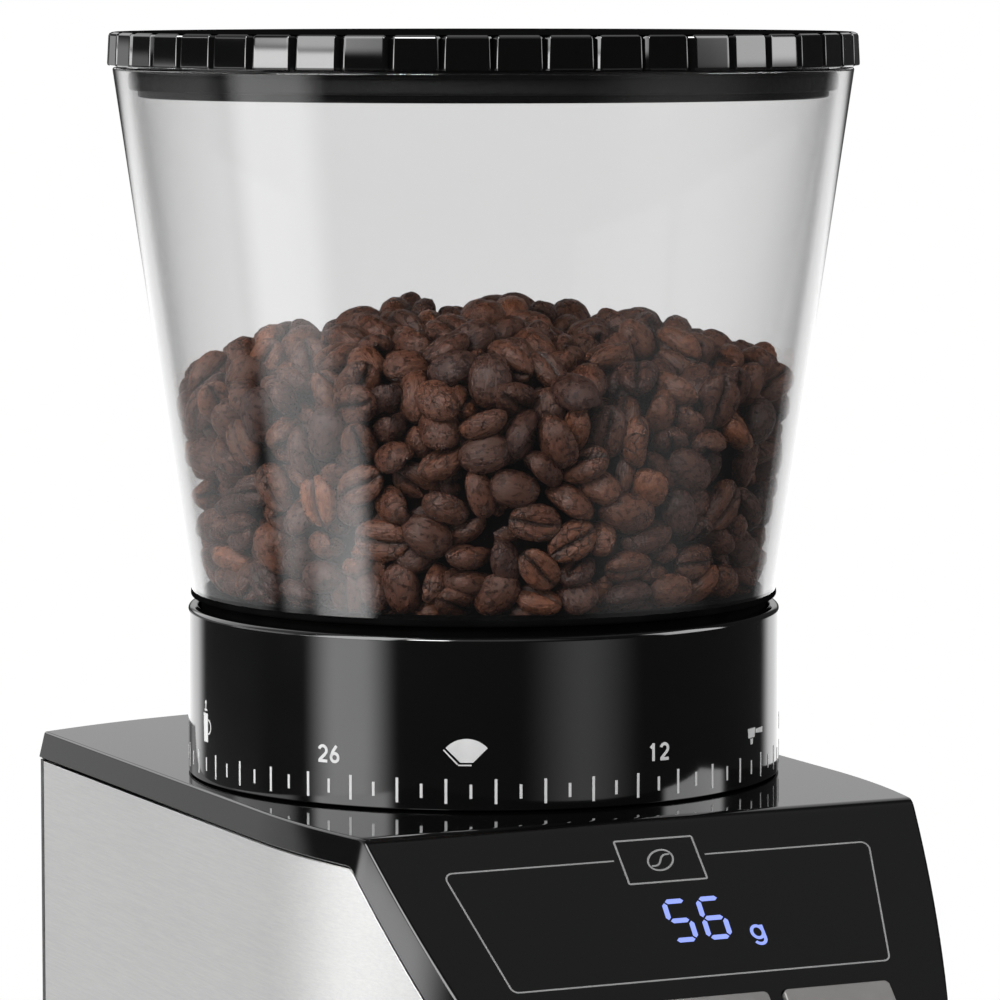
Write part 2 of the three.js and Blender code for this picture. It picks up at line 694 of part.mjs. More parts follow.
// ---- Grind ring, hopper and lid ------------------------------------------------------------
function addGrindRing() {
  const [low, high] = [TOP_Z + GAP, TOP_Z + RING_H];
  const body = turned(
    [
      [RING_BORE_R, low],
      [RING_R, low],
      [RING_R, high - 1.5],
      [RING_R - 0.45, high - 0.45],
      [RING_R - 1.5, high],
      [RING_BORE_R, high],
      [RING_BORE_R, 251.5],
      [38, 251.5],
      [38, 248.5],
      [RING_BORE_R, 248.5],
    ],
    48,
  );
  const lug = box([35, -9.6, 236], [40, 9.6, 250]);
  add("grind_ring", union(body, lug), glossBlack);
}

function addHopper() {
  const slant = (HOPPER_TOP_R - HOPPER_LOW_R) / (TOP_Z + 148 - HOPPER_Z - 2.5);
  const outerR = (z) => HOPPER_LOW_R + slant * (z - HOPPER_Z - 2.5);
  const innerR = (z) => outerR(z) - HOPPER_WALL;
  add(
    "hopper_bowl",
    turned([
      [57.5, HOPPER_Z],
      [60.2, HOPPER_Z],
      [61.9, HOPPER_Z + 0.7],
      [HOPPER_LOW_R, HOPPER_Z + 2.5],
      [outerR(HOPPER_RIM_Z), HOPPER_RIM_Z],
      [innerR(HOPPER_RIM_Z), HOPPER_RIM_Z],
      [innerR(HOPPER_Z + 4), HOPPER_Z + 4],
      [57.5, HOPPER_Z + 2.4],
    ]),
    clearPlastic,
  );
  const funnel = turned([
    [24.5, 235],
    [26.6, 235],
    [26.6, 257.6],
    [58.2, 273.8],
    [58.2, 262],
    [60.6, 262],
    [60.6, HOPPER_Z - GAP],
    [57.8, HOPPER_Z - GAP],
    [24.5, 260],
  ]);
  add("hopper_base", funnel, glossBlack);
  add("hopper_gasket", hoop(24.5, 29, 231.8, 234.7, 36), silicone);
}

function addLid() {
  const step = (2 * Math.PI) / LID_BLOCKS;
  const groove = THREE.MathUtils.degToRad(LID_GROOVE_DEG) / 2;
  const points = [];
  for (let i = 0; i < LID_BLOCKS; i++) {
    const middle = i * step;
    const corners = [
      [LID_R, middle - step / 2 + groove],
      [LID_R, middle + step / 2 - groove],
      [LID_R - LID_GROOVE_DEPTH, middle + step / 2 - groove],
      [LID_R - LID_GROOVE_DEPTH, middle + step / 2 + groove],
    ];
    corners.forEach(([r, a]) => points.push([r * Math.cos(a), r * Math.sin(a)]));
  }
  const recess = bar(76.4, LID_Z - 1, LID_Z + 3.6, 0, 0, 32);
  const disc = without(prism(outline(points), LID_Z, TOTAL_Z), recess);
  add("hopper_lid", union(disc, hoop(70, 73.5, TOP_Z + 144.5, LID_Z + 4, 32)), glossBlack);
  add("lid_seal", hoop(73.9, 75.5, TOP_Z + 146.1, TOP_Z + 149.6, 40), rubber);
}

// ---- Grounds container ---------------------------------------------------------------------
// The container's outline, moved in by inset.
function containerPlan(inset, radius) {
  return roundedRect(BOX_W - 2 * inset, BOX_D - 2 * inset, radius, 0, SCALE_Y);
}

function addContainer() {
  const z = SCALE_Z + GAP;
  const inside = prism(containerPlan(BOX_WALL, 7.8), z + BOX_WALL, 200);
  const outside = prism(containerPlan(0, 10), z, BOX_TOP_Z);
  add("grounds_container", without(outside, inside), clearPlastic);

  const inset = BOX_WALL + PLAY;
  const plugOut = prism(containerPlan(inset, 7.4), BOX_TOP_Z - 6, BOX_TOP_Z + 1);
  const plugIn = prism(containerPlan(inset + 2, 5.4), 100, BOX_TOP_Z + GAP);
  const plate = prism(containerPlan(0, 10), BOX_TOP_Z + GAP, BOX_TOP_Z + 3.5);
  const half = OUTLET_W / 2 + 3;
  const hole = box([-half, OUTLET_Y[0] - 2, 100], [half, OUTLET_Y[1] + 2, 200]);
  const lid = union(plate, without(plugOut, plugIn));
  add("container_lid", without(lid, hole), mattBlack);
}

addBase();
addTopCover();
addSidePanels();
addRearCover();
addColumnCover();
addHeadHousing();
addInnerFrame();
addGearbox();
addMotor();
addDrive();
addBurrHousing();
addCarrier();
addBoards();
addButtons();
addGrindRing();
addHopper();
addLid();
addContainer();

export default grinder;
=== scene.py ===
"""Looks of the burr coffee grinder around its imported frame. Its objects are in metres; the shapes here
are given in millimetres from the burr axis, +Z up, front towards -Y."""

import math

import bmesh
import bpy
import numpy as np
from mathutils import Matrix, Vector
from mathutils.kdtree import KDTree

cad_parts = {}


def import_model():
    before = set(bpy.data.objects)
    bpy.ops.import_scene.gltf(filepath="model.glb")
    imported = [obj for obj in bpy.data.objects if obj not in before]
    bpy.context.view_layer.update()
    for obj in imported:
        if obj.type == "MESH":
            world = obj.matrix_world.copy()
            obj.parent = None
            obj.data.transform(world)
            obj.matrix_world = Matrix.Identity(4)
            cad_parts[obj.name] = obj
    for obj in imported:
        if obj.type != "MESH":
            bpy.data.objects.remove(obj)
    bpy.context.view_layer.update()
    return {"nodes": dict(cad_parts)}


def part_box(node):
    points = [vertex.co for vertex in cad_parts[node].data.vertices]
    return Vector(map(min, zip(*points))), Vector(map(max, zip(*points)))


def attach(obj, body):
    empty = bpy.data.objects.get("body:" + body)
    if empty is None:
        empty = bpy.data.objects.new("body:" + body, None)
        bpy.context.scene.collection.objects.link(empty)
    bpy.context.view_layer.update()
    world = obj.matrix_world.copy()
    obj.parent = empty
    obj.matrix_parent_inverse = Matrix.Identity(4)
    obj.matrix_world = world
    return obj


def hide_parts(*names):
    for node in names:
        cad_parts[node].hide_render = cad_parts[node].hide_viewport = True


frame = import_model()

# ---- Driving dimensions, millimetres -------------------------------------------------------
MM = 0.001
lid_low, lid_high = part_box("hopper_lid")
AXIS_Y = (lid_low.y + lid_high.y) / 2
TOP_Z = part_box("top_cover")[1].z / MM
TOTAL_Z = lid_high.z / MM
GAP = 0.3
FAR = 100  # past either side of the body

HALF_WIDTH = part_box("right_side_panel")[1].x / MM
REAR_RADIUS = 155
REAR_Y = (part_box("rear_cover")[1].y - AXIS_Y) / MM + GAP
FLANK_Y = -35
FLANK_RADIUS = 200
HEAD_FRONT_Y = -126
HEAD_NOSE = 5
BASE_NOSE = 19
SLOPE = math.radians(46)
CORNER_Y = -77.5
TOP_ROUND = 4.5
TOP_EDGE = 0.6  # radius of the edge between the top and the band
PANEL_ROUND = 3
BAND = 6
BAND_DRAFT = math.radians(11)
SLOPE_END = 69.8
HEAD_BOTTOM_Z = 168
HEAD_LIP_Z = 173.7
PANEL_FRONT_Y = -116
HEAD_CUT_Y = -134
COLUMN_Y = -38
PANEL_BOTTOM_Z = 10
PANEL_INSET = 0.35
PANEL_EDGE = 0.05
PANEL_REVEAL = BAND + GAP + 0.3
CORNER_STATION = 30  # of a right edge, at the rear corner
WALL = 3
SHEET = 1.2
VENTS = 5
VENT_LOW_Z = 96
VENT_STEP = 12
INLET = (28, 28, 8.3)  # across, height and radius of the cord's hole
BASE_TOP_Z = 38

RING_R = 63.5
RING_BORE_R = 61.2
RING_H = 36
RING_WEB = (248.5, 251.5)  # heights of the flat web inside the ring
HOPPER_Z = TOP_Z + 38
HOPPER_LOW_R = 62.8
HOPPER_TOP_R = 78.5
HOPPER_RIM_Z = TOP_Z + 150.6
HOPPER_WALL = 2.4
FUNNEL_LOW_Z = 235
HOPPER_SLANT = (HOPPER_TOP_R - HOPPER_LOW_R) / (TOP_Z + 148 - HOPPER_Z - 2.5)
LID_Z = TOP_Z + 150.9
LID_R = 80
LID_BLOCKS = 48
LID_GROOVE = 0.84  # half its width
LID_DRAFT = 0.31
SEAL = (386.1, 389.6)  # heights of the seal's edges
LID_TURN = math.radians(2.85)  # from +X to the middle of a block

NECK_R = 49.5
KEY_GAP = 0.4
BUTTON_PROUD = 0.9
BUTTON_DEEP = 5.2
KEYS = {
    "left": (-27.4, 43.8, 24, 12),
    "middle": (0, 43.8, 24, 12),
    "right": (27.4, 43.8, 24, 12),
    "start": (0, 59, 42, 8),
}
DISPLAY_X = 2.7
DISPLAY_T = 25.2

SCALE_Y = -83
SCALE_Z = 42.3
BOX_W = 92
BOX_D = 80
BOX_TOP_Z = 150

rng = np.random.default_rng(7)


# ---- Materials -----------------------------------------------------------------------------
BROAD = 0.12  # scale of the broad variation of a colour, as a share of its grain
PLASTIC_IOR = 1.49
DRAWN = 0.035  # how far brushing is drawn out


class Nodes:
    """A node tree, with short ways to add the nodes that are used here."""

    def __init__(self, tree):
        self.tree = tree

    def add(self, kind, inputs, **settings):
        """A new node, whose inputs are constants or outputs of other nodes."""
        node = self.tree.nodes.new("ShaderNode" + kind)
        for name, value in settings.items():
            setattr(node, name, value)
        for name, value in inputs.items():
            self.feed(node.inputs[name], value)
        return node

    def feed(self, socket, value):
        if isinstance(value, bpy.types.NodeSocket):
            self.tree.links.new(value, socket)
        elif socket.type == "RGBA":
            socket.default_value = (*value, 1)
        else:
            socket.default_value = value

    def feed_shader(self, **inputs):
        """Inputs of the principled shader, with _ for the spaces in their names."""
        shader = self.tree.nodes["Principled BSDF"]
        for name, value in inputs.items():
            self.feed(shader.inputs[name.replace("_", " ")], value)
        return shader.outputs["BSDF"]

    def noise(self, scale, stretch=(1, 1, 1), detail=3, place=None):
        """Noise in the piece's own metres. A stretch below 1 draws it out along that axis."""
        if place is None:
            place = self.add("TexCoord", {}).outputs["Object"]
        place = self.add("Mapping", {"Vector": place, "Scale": stretch}).outputs["Vector"]
        return self.add("TexNoise", {"Vector": place, "Scale": scale, "Detail": detail}).outputs["Fac"]

    def ramp(self, value, low, high, span=(0.3, 0.7), **settings):
        """The value, mapped from span to the numbers low and high."""
        ends = {"From Min": span[0], "From Max": span[1], "To Min": low, "To Max": high}
        return self.add("MapRange", {"Value": value, **ends}, **settings).outputs["Result"]

    def step(self, value, start, end):
        """0 before start and 1 past end, with a smooth rise between. Start may lie above end."""
        if start < end:
            return self.ramp(value, 0, 1, (start, end), interpolation_type="SMOOTHSTEP")
        return self.ramp(value, 1, 0, (end, start), interpolation_type="SMOOTHSTEP")

    def blend(self, factor, low, high):
        """A colour between two colours."""
        return self.add("Mix", {0: factor, 6: low, 7: high}, data_type="RGBA").outputs[2]

    def between(self, factor, low, high):
        """A number between two numbers."""
        return self.add("Mix", {0: factor, 2: low, 3: high}, data_type="FLOAT").outputs[0]

    def maths(self, operation, *values):
        return self.add("Math", dict(enumerate(values)), operation=operation).outputs[0]

    def product(self, *values):
        result = values[0]
        for value in values[1:]:
            result = self.maths("MULTIPLY", result, value)
        return result

    def bump(self, height, strength, distance):
        inputs = {"Height": height, "Strength": strength, "Distance": distance}
        return self.add("Bump", inputs).outputs["Normal"]

    def switch_surface(self, factor, first, second):
        """Ends the material with a mix of two shaders."""
        mix = self.add("MixShader", {0: factor, 1: first, 2: second})
        self.feed(self.tree.nodes["Material Output"].inputs["Surface"], mix.outputs["Shader"])


def new_material(name):
    mat = bpy.data.materials.new(name)
    mat.use_nodes = True
    return mat, Nodes(mat.node_tree)


def finish(name, low, high, rough, grain, stretch=(1, 1, 1), bump=(0.1, 0.0002), **inputs):
    """A material whose colour and roughness vary between two values with the grain, with a fine bump."""
    mat, nodes = new_material(name)
    broad = nodes.ramp(nodes.noise(grain * BROAD, stretch), 0, 1)
    fine = nodes.noise(grain, stretch)
    nodes.feed_shader(
        Base_Color=nodes.blend(broad, low, high),
        Roughness=nodes.ramp(fine, *rough),
        Normal=nodes.bump(fine, *bump),
        **inputs,
    )
    return mat


def grey(value, tint=(1, 1, 1)):
    return tuple(value * t for t in tint)


def clear_material(name, colour, rough):
    """Clear plastic that lets lamps through, so that what stands inside is lit."""
    mat, nodes = new_material(name)
    plastic = nodes.feed_shader(
        Base_Color=colour,
        IOR=PLASTIC_IOR,
        Transmission_Weight=1,
        Roughness=nodes.ramp(nodes.noise(90), *rough),
        Normal=nodes.bump(nodes.noise(22, detail=1), 0.05, 0.0004),
    )
    path = nodes.add("LightPath", {})
    through = nodes.add("BsdfTransparent", {"Color": grey(0.9)})
    nodes.switch_surface(path.outputs["Is Shadow Ray"], plastic, through.outputs["BSDF"])
    return mat


def bean_material():
    """Roasted beans: each has its own tone, with a mottled, wrinkled skin, cracks and painted shade darkening
    the crease.
    """
    mat, nodes = new_material("roasted_bean")
    own = nodes.add("Attribute", {}, attribute_name="bean_place").outputs["Vector"]
    tone = nodes.add("Attribute", {}, attribute_name="bean_tone").outputs["Fac"]
    crease = nodes.add("Attribute", {}, attribute_name="bean_crease").outputs["Fac"]
    mottle = nodes.noise(0.9, detail=4, place=own)
    wrinkle = nodes.noise(1.6, (0.35, 1.5, 1.5), 4, own)
    patches = nodes.ramp(nodes.noise(0.12, detail=1, place=own), 0, 1, (0.52, 0.6))
    cells = nodes.add("TexVoronoi", {"Vector": own, "Scale": 0.42}, feature="DISTANCE_TO_EDGE")
    cracked = nodes.product(nodes.ramp(cells.outputs["Distance"], 1, 0, (0.01, 0.05)), patches)
    dark = nodes.blend(tone, (0.013, 0.0048, 0.0033), (0.056, 0.019, 0.0088))
    lit = nodes.blend(tone, (0.034, 0.0135, 0.0088), (0.130, 0.044, 0.018))
    skin = nodes.blend(nodes.ramp(mottle, 0, 1, (0.36, 0.66)), dark, lit)
    # Painted shade: the skin is darkened towards the crease, where shadow falls in the recess.
    skin = nodes.blend(crease, skin, (0.012, 0.006, 0.004))
    height = nodes.maths("SUBTRACT", wrinkle, nodes.product(cracked, 0.5))
    nodes.feed_shader(
        Base_Color=nodes.blend(cracked, skin, (0.010, 0.005, 0.004)),
        Roughness=nodes.ramp(mottle, 0.22, 0.38),
        Normal=nodes.bump(height, 0.8, 0.0006),
    )
    return mat


def glow_material(name, colour, strength):
    """Lit display segments, slightly uneven."""
    mat, nodes = new_material(name)
    glow = nodes.blend(nodes.noise(400), grey(0.9, colour), colour)
    nodes.feed_shader(Emission_Color=glow, Emission_Strength=strength, Base_Color=grey(0.02))
    return mat


def steel_material(name, stretch, turn):
    """Brushed steel. The brushing is drawn out along the axis whose stretch is small."""
    mat, nodes = new_material(name)
    fine = nodes.noise(9000, stretch, 3)
    broad = nodes.noise(2600, stretch, 2)
    streak = nodes.maths("ADD", nodes.ramp(fine, -0.25, 0.25), nodes.ramp(broad, 0.25, 0.75))
    nodes.feed_shader(
        Base_Color=nodes.blend(streak, grey(0.69), grey(0.80, (1, 0.995, 0.985))),
        Roughness=nodes.ramp(nodes.noise(9, detail=2), 0.36, 0.39),
        Metallic=1,
        Anisotropic=0.9,
        Anisotropic_Rotation=turn,
        Normal=nodes.bump(fine, 0.10, 0.00003),
    )
    return mat


WARM = (1, 0.97, 0.94)
KEY_GREYS = (grey(0.155, WARM), grey(0.18, WARM))
DEEP = (grey(0.0012), grey(0.002))
SHADOWS = ((0.0008, 0.0005, 0.0004), (0.002, 0.001, 0.0008))
MATERIALS = {
    "piano": finish("piano_black", grey(0.0008), grey(0.0013), (0.035, 0.06), 60, bump=(0.02, 0.0001)),
    "ring": finish("ring_black", *DEEP, (0.06, 0.10), 90, bump=(0.02, 0.0001)),
    "matt": finish("moulded_matt_black", grey(0.012), grey(0.02), (0.42, 0.6), 1400, bump=(0.35, 0.0002)),
    "steel": steel_material("brushed_steel", (1, DRAWN, 1), 0.25),
    "plate": steel_material("brushed_plate", (DRAWN, 1, 1), 0),
    "lid_top": finish("lid_top_matt", *DEEP, (0.5, 0.6), 900, Specular_IOR_Level=0.0),
    "clear": clear_material("clear_hopper", grey(0.88), (0.0, 0.02)),
    "box": clear_material("clear_container", grey(0.93), (0.02, 0.05)),
    "rubber": finish(
        "rubber", grey(0.0018), grey(0.003), (0.6, 0.8), 900, bump=(0.3, 0.0002), Specular_IOR_Level=0.15
    ),
    "key": finish("satin_grey_key", *KEY_GREYS, (0.3, 0.42), 900, bump=(0.12, 0.0001), Metallic=0.55),
    "print": finish("silver_print", grey(0.32), grey(0.37), (0.35, 0.5), 1500, bump=(0.1, 0.0001)),
    "line": finish("panel_print", grey(0.115), grey(0.135), (0.35, 0.5), 1500, bump=(0.1, 0.0001)),
    "glow": glow_material("display_glow", (0.26, 0.35, 1.0), 1.15),
    "bean": bean_material(),
    "hard": finish("hard_steel", grey(0.42), grey(0.56), (0.22, 0.4), 500, (1, 1, 0.05), Metallic=1.0),
    "motor": finish("motor_can", grey(0.30), grey(0.38), (0.3, 0.45), 300, (1, 1, 0.2), Metallic=1.0),
    "nylon": finish("nylon", (0.62, 0.58, 0.48), (0.72, 0.68, 0.58), (0.4, 0.55), 600),
    "board": finish("circuit_board", (0.010, 0.085, 0.035), (0.02, 0.14, 0.06), (0.3, 0.5), 250),
    "display": finish("display_window", grey(0.006), grey(0.01, (0.8, 0.85, 1.3)), (0.08, 0.14), 100),
    "silicone": finish("silicone", grey(0.13), grey(0.18), (0.5, 0.65), 500),
    # Painted shade: a near-black, unreflecting stand-in for the shadowed gaps deep in the bean heap.
    "bean_gap_shade": finish("bean_shadow", *SHADOWS, (0.7, 0.8), 300, Specular_IOR_Level=0.0),
}


# ---- Meshes --------------------------------------------------------------------------------
def add_object(name, data):
    obj = bpy.data.objects.new(name, data)
    bpy.context.scene.collection.objects.link(obj)
    return obj


def rough_mesh(name, points, faces):
    """An object from points in the machine's millimetres."""
    placed = np.asarray(points, float) * MM
    placed[:, 1] += AXIS_Y
    mesh = bpy.data.meshes.new(name)
    mesh.from_pydata(placed.tolist(), [], faces)
    return add_object(name, mesh)


def make(name, points, faces, smooth=30):
    """The same with touching points merged, its faces turned outwards and its edges shaded."""
    obj = rough_mesh(name, points, faces)
    tidy = bmesh.new()
    tidy.from_mesh(obj.data)
    bmesh.ops.remove_doubles(tidy, verts=tidy.verts, dist=1e-6)
    bmesh.ops.recalc_face_normals(tidy, faces=tidy.faces)
    tidy.to_mesh(obj.data)
    tidy.free()
    shade(obj, smooth)
    return obj


def shade(obj, angle):
    """Smooth, but for edges sharper than the angle."""
    shade_smooth(obj)
    obj.data.set_sharp_from_angle(angle=math.radians(angle))


def shade_smooth(obj):
    faces = obj.data.polygons
    faces.foreach_set("use_smooth", [True] * len(faces))


def flatten_normals(obj):
    """Large faces keep their own normal, so that flats stay flat between rounded edges."""
    step = obj.modifiers.new("normals", "WEIGHTED_NORMAL")
    step.weight = 100
    step.keep_sharp = True


def piece(obj, material, body, slot, *nodes):
    """Dresses a piece, and makes it ride on its body in place of the CAD nodes named."""
    obj.data.materials.clear()
    obj.data.materials.append(MATERIALS[material])
    if material != "bean":
        flatten_normals(obj)
    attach(obj, body)
    if nodes:
        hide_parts(*nodes)
    return obj


def rings_of_faces(rings, count, closed_rings=False):
    """Quads between equal loops of points, laid out one loop after another."""
    faces = []
    for k in range(rings if closed_rings else rings - 1):
        low, high = k * count, ((k + 1) % rings) * count
        for i in range(count):
            j = (i + 1) % count
            faces.append((low + i, low + j, high + j, high + i))
    return faces


def tube_faces(rings, count):
    """Quads between the loops, and a face over the loop at either end."""
    last = (rings - 1) * count
    return rings_of_faces(rings, count) + [tuple(range(count)), tuple(range(last, last + count))]


def lathe(name, profile, sides=160, smooth=30):
    """A turned piece about the burr axis from a closed (radius, z) outline."""
    turns = np.linspace(0, 2 * math.pi, sides, endpoint=False)
    points = [(r * math.cos(a), r * math.sin(a), z) for a in turns for r, z in profile]
    return make(name, points, rings_of_faces(sides, len(profile), True), smooth)


def arc(cx, cy, radius, start, end, steps):
    turns = np.linspace(start, end, steps + 1)
    return [(cx + radius * math.cos(a), cy + radius * math.sin(a)) for a in turns]


def fillet(corners, steps=5):
    """A closed outline with its (a, b, radius) corners rounded."""
    outline = []
    count = len(corners)
    for i, (a, b, radius) in enumerate(corners):
        here = Vector((a, b))
        if radius == 0:
            outline.append(tuple(here))
            continue
        before = Vector(corners[i - 1][:2]) - here
        after = Vector(corners[(i + 1) % count][:2]) - here
        half = before.angle(after) / 2
        reach = min(radius / math.tan(half), before.length * 0.49, after.length * 0.49)
        round_r = reach * math.tan(half)
        centre = here + (before.normalized() + after.normalized()).normalized() * round_r / math.sin(half)
        start = here + before.normalized() * reach - centre
        end = here + after.normalized() * reach - centre
        first = math.atan2(start.y, start.x)
        sweep = (math.atan2(end.y, end.x) - first + math.pi) % (2 * math.pi) - math.pi
        for k in range(steps + 1):
            turn = first + sweep * k / steps
            outline.append((centre.x + round_r * math.cos(turn), centre.y + round_r * math.sin(turn)))
    return outline


def offset(outline, inset):
    """An anticlockwise outline moved inwards."""
    points = np.asarray(outline, float)
    forward = np.roll(points, -1, 0) - points
    forward /= np.maximum(np.linalg.norm(forward, axis=1), 1e-9)[:, None]
    normal = np.stack([-forward[:, 1], forward[:, 0]], 1)
    joint = normal + np.roll(normal, 1, 0)
    joint /= np.maximum(np.linalg.norm(joint, axis=1), 1e-9)[:, None]
    reach = 1 / np.maximum((joint * normal).sum(1), 0.4)
    return points + joint * (inset * reach)[:, None]


def stack(name, outline, profile, smooth=30):
    """Loops of one outline, moved in and up by each (inset, z) of the profile, capped at both ends."""
    points = [(x, y, z) for inset, z in profile for x, y in offset(outline, inset)]
    return make(name, points, tube_faces(len(profile), len(outline)), smooth)


# How much a rounded edge of radius 1 falls short of its corner, along each side, at five points.
QUARTER = [(1 - math.sin(turn), 1 - math.cos(turn)) for turn in np.linspace(0, math.pi / 2, 5)]


def slab(name, outline, z0, z1, low=0.4, high=0.4, smooth=30):
    """A flat piece with rounded edges below and above."""
    profile = [(low * near, z0 + low * far) for near, far in QUARTER]
    profile += [(high * far, z1 - high * near) for near, far in QUARTER]
    return stack(name, outline, profile, smooth)


def rounded_rect(width, height, radius, cx=0.0, cy=0.0, steps=8):
    w, h = width / 2, height / 2
    corners = [(cx + w, cy - h), (cx + w, cy + h), (cx - w, cy + h), (cx - w, cy - h)]
    return fillet([(x, y, radius) for x, y in corners], steps)


def prism(name, outline, z0, z1):
    return stack(name, outline, [(0, z0), (0, z1)])


def side_prism(name, outline, x0, x1):
    """An outline in the side view (machine Y and Z), from x0 to x1 across."""
    points = [(x, y, z) for x in (x0, x1) for y, z in outline]
    return make(name, points, tube_faces(2, len(outline)))


def rear_prism(name, outline, y0, y1):
    """An outline in the rear view (machine X and Z), from y0 to y1 along."""
    points = [(x, y, z) for y in (y0, y1) for x, z in outline]
    return make(name, points, tube_faces(2, len(outline)))


def disc_outline(cx, cy, radius, sides):
    return arc(cx, cy, radius, 0, 2 * math.pi, sides)[:-1]


def block(name, low, high):
    outline = [(low[0], low[1]), (high[0], low[1]), (high[0], high[1]), (low[0], high[1])]
    return prism(name, outline, low[2], high[2])


def bake_modifiers(obj):
    graph = bpy.context.evaluated_depsgraph_get()
    obj.data = bpy.data.meshes.new_from_object(obj.evaluated_get(graph))
    obj.modifiers.clear()


def boolean(body, operation, *others, smooth=30):
    for other in others:
        step = body.modifiers.new("cut", "BOOLEAN")
        step.operation = operation
        step.object = other
        step.solver = "MANIFOLD"
        bake_modifiers(body)
        bpy.data.objects.remove(other)
    shade(body, smooth)
    return body


def soften(obj, width, segments=3):
    """Rounded edges, as moulded and pressed parts have."""
    step = obj.modifiers.new("edges", "BEVEL")
    step.width = width * MM
    step.segments = segments
    step.limit_method = "ANGLE"
    step.angle_limit = math.radians(SOFT_ANGLE)
    step.harden_normals = True
    return obj


def transform(obj, matrix):
    """Moves a new piece's mesh by a matrix in the machine's millimetres."""
    move = Matrix.Translation((0, AXIS_Y, 0)) @ Matrix.Scale(MM, 4)
    obj.data.transform(move @ matrix @ move.inverted())
    return obj


SOFT_ANGLE = 40  # edges sharper than this are rounded
SLOPE_PLACE = Matrix.Translation((0, CORNER_Y, TOP_Z)) @ Matrix.Rotation(SLOPE, 4, "X")


# ---- Body outlines -------------------------------------------------------------------------
def plan(inset, nose):
    """The plan of the body, anticlockwise, moved in by inset, with a nose that bows out."""
    side = HALF_WIDTH - inset
    flank_x = HALF_WIDTH - FLANK_RADIUS
    flank_r = FLANK_RADIUS - inset
    front = HEAD_FRONT_Y + inset
    sweep = math.asin((FLANK_Y - front) / flank_r)
    front_x = flank_x + flank_r * math.cos(sweep)
    nose_r = (front_x**2 + nose**2) / (2 * nose)
    nose_y = front - nose + nose_r
    rear_r = REAR_RADIUS - inset
    rear = math.acos(side / rear_r)
    start = math.atan2(front - nose_y, -front_x) % (2 * math.pi)
    end = math.atan2(front - nose_y, front_x) % (2 * math.pi)
    outline = arc(0, REAR_Y - REAR_RADIUS, rear_r, rear, math.pi - rear, 28)
    outline += arc(-flank_x, FLANK_Y, flank_r, math.pi, math.pi + sweep, 24)
    outline += arc(0, nose_y, nose_r, start, end, 24)[1:-1]
    outline += arc(flank_x, FLANK_Y, flank_r, -sweep, 0, 24)
    return outline


def top_height(y, depth, radius):
    """Height of the top and slope, moved in by depth, whose corner is rounded by radius."""
    centre_y = CORNER_Y + (depth + radius) * math.tan(SLOPE / 2)
    if y >= centre_y:
        return TOP_Z - depth
    if y <= centre_y - radius * math.sin(SLOPE):
        return slope_height(y, depth)
    return TOP_Z - depth - radius + math.sqrt(radius**2 - (y - centre_y) ** 2)


def slope_height(y, depth):
    t = (CORNER_Y + depth * math.sin(SLOPE) - y) / math.cos(SLOPE)
    return TOP_Z - t * math.sin(SLOPE) - depth * math.cos(SLOPE)


def right_edge(inset, front_y):
    """Points down the right of the plan, from the middle of the rear to front_y."""
    side = HALF_WIDTH - inset
    rear_r = REAR_RADIUS - inset
    rear_angle = math.acos(side / rear_r)
    edge = arc(0, REAR_Y - REAR_RADIUS, rear_r, math.pi / 2, rear_angle, 30)
    corner_y = edge[-1][1]
    for y in np.linspace(corner_y, FLANK_Y, 8)[1:]:
        edge.append((side, y))
    stations = [
        *np.linspace(FLANK_Y, -73, 18)[1:],
        *np.linspace(-73, -79.5, 16)[1:],
        *np.linspace(-79.5, front_y, 16)[1:],
    ]
    flank_x = HALF_WIDTH - FLANK_RADIUS
    for y in stations:
        edge.append((flank_x + math.sqrt((FLANK_RADIUS - inset) ** 2 - (FLANK_Y - y) ** 2), y))
    return edge


# ---- Body shells ---------------------------------------------------------------------------
def top_cover():
    """The gloss cover: top, slope and the band round them, swept from the rear to the front."""
    front_y = CORNER_Y - SLOPE_END * math.cos(SLOPE)
    outside = cover_section()
    inside = [(WALL, WALL, TOP_ROUND - 1), (WALL, BAND, PANEL_ROUND)]
    edges = [(right_edge(inset, front_y), depth, radius) for inset, depth, radius in outside + inside]
    points = []
    for i in range(len(edges[0][0])):
        half = []
        for edge, depth, radius in edges:
            x, y = edge[i]
            half.append((x, y, top_height(y, depth, radius)))
        outer, inner = half[: len(outside)], half[len(outside) :]
        points += outer + other_side(outer) + other_side(inner) + inner
    count = 2 * len(edges)
    rings = len(points) // count
    faces = rings_of_faces(rings, count) + [tuple(range((rings - 1) * count, rings * count))]
    cover = make("top_cover_gloss", points, faces)
    cuts = [prism("neck", disc_outline(0, 0, NECK_R, 96), TOP_Z - 20, TOP_Z + 20)]
    for x, t, width, height in KEYS.values():
        hole = rounded_rect(width + 2 * KEY_GAP, height + 2 * KEY_GAP, 1.6, x, -t - height / 2)
        cuts.append(transform(prism("hole", hole, -7, 7), SLOPE_PLACE))
    boolean(cover, "DIFFERENCE", *cuts, smooth=25)
    piece(cover, "piano", "chassis", "gloss_black", "top_cover")


def cover_section():
    """The band from its lower edge up to the rounded edge of the top: inset, depth, corner radius."""
    lip = BAND - 0.25
    wall_top = TOP_EDGE * (1 - math.sin(BAND_DRAFT))
    middle = 0.05 + (lip - wall_top) * math.tan(BAND_DRAFT) + TOP_EDGE * math.cos(BAND_DRAFT)
    section = [(0.3, BAND, PANEL_ROUND), (0.05, lip, PANEL_ROUND)]
    for turn in np.linspace(BAND_DRAFT, math.pi / 2, 7):
        depth = TOP_EDGE * (1 - math.sin(turn))
        section.append((middle - TOP_EDGE * math.cos(turn), depth, TOP_ROUND - depth))
    return section


def other_side(points):
    """The points mirrored across, in reverse."""
    return [(-x, y, z) for x, y, z in reversed(points)]


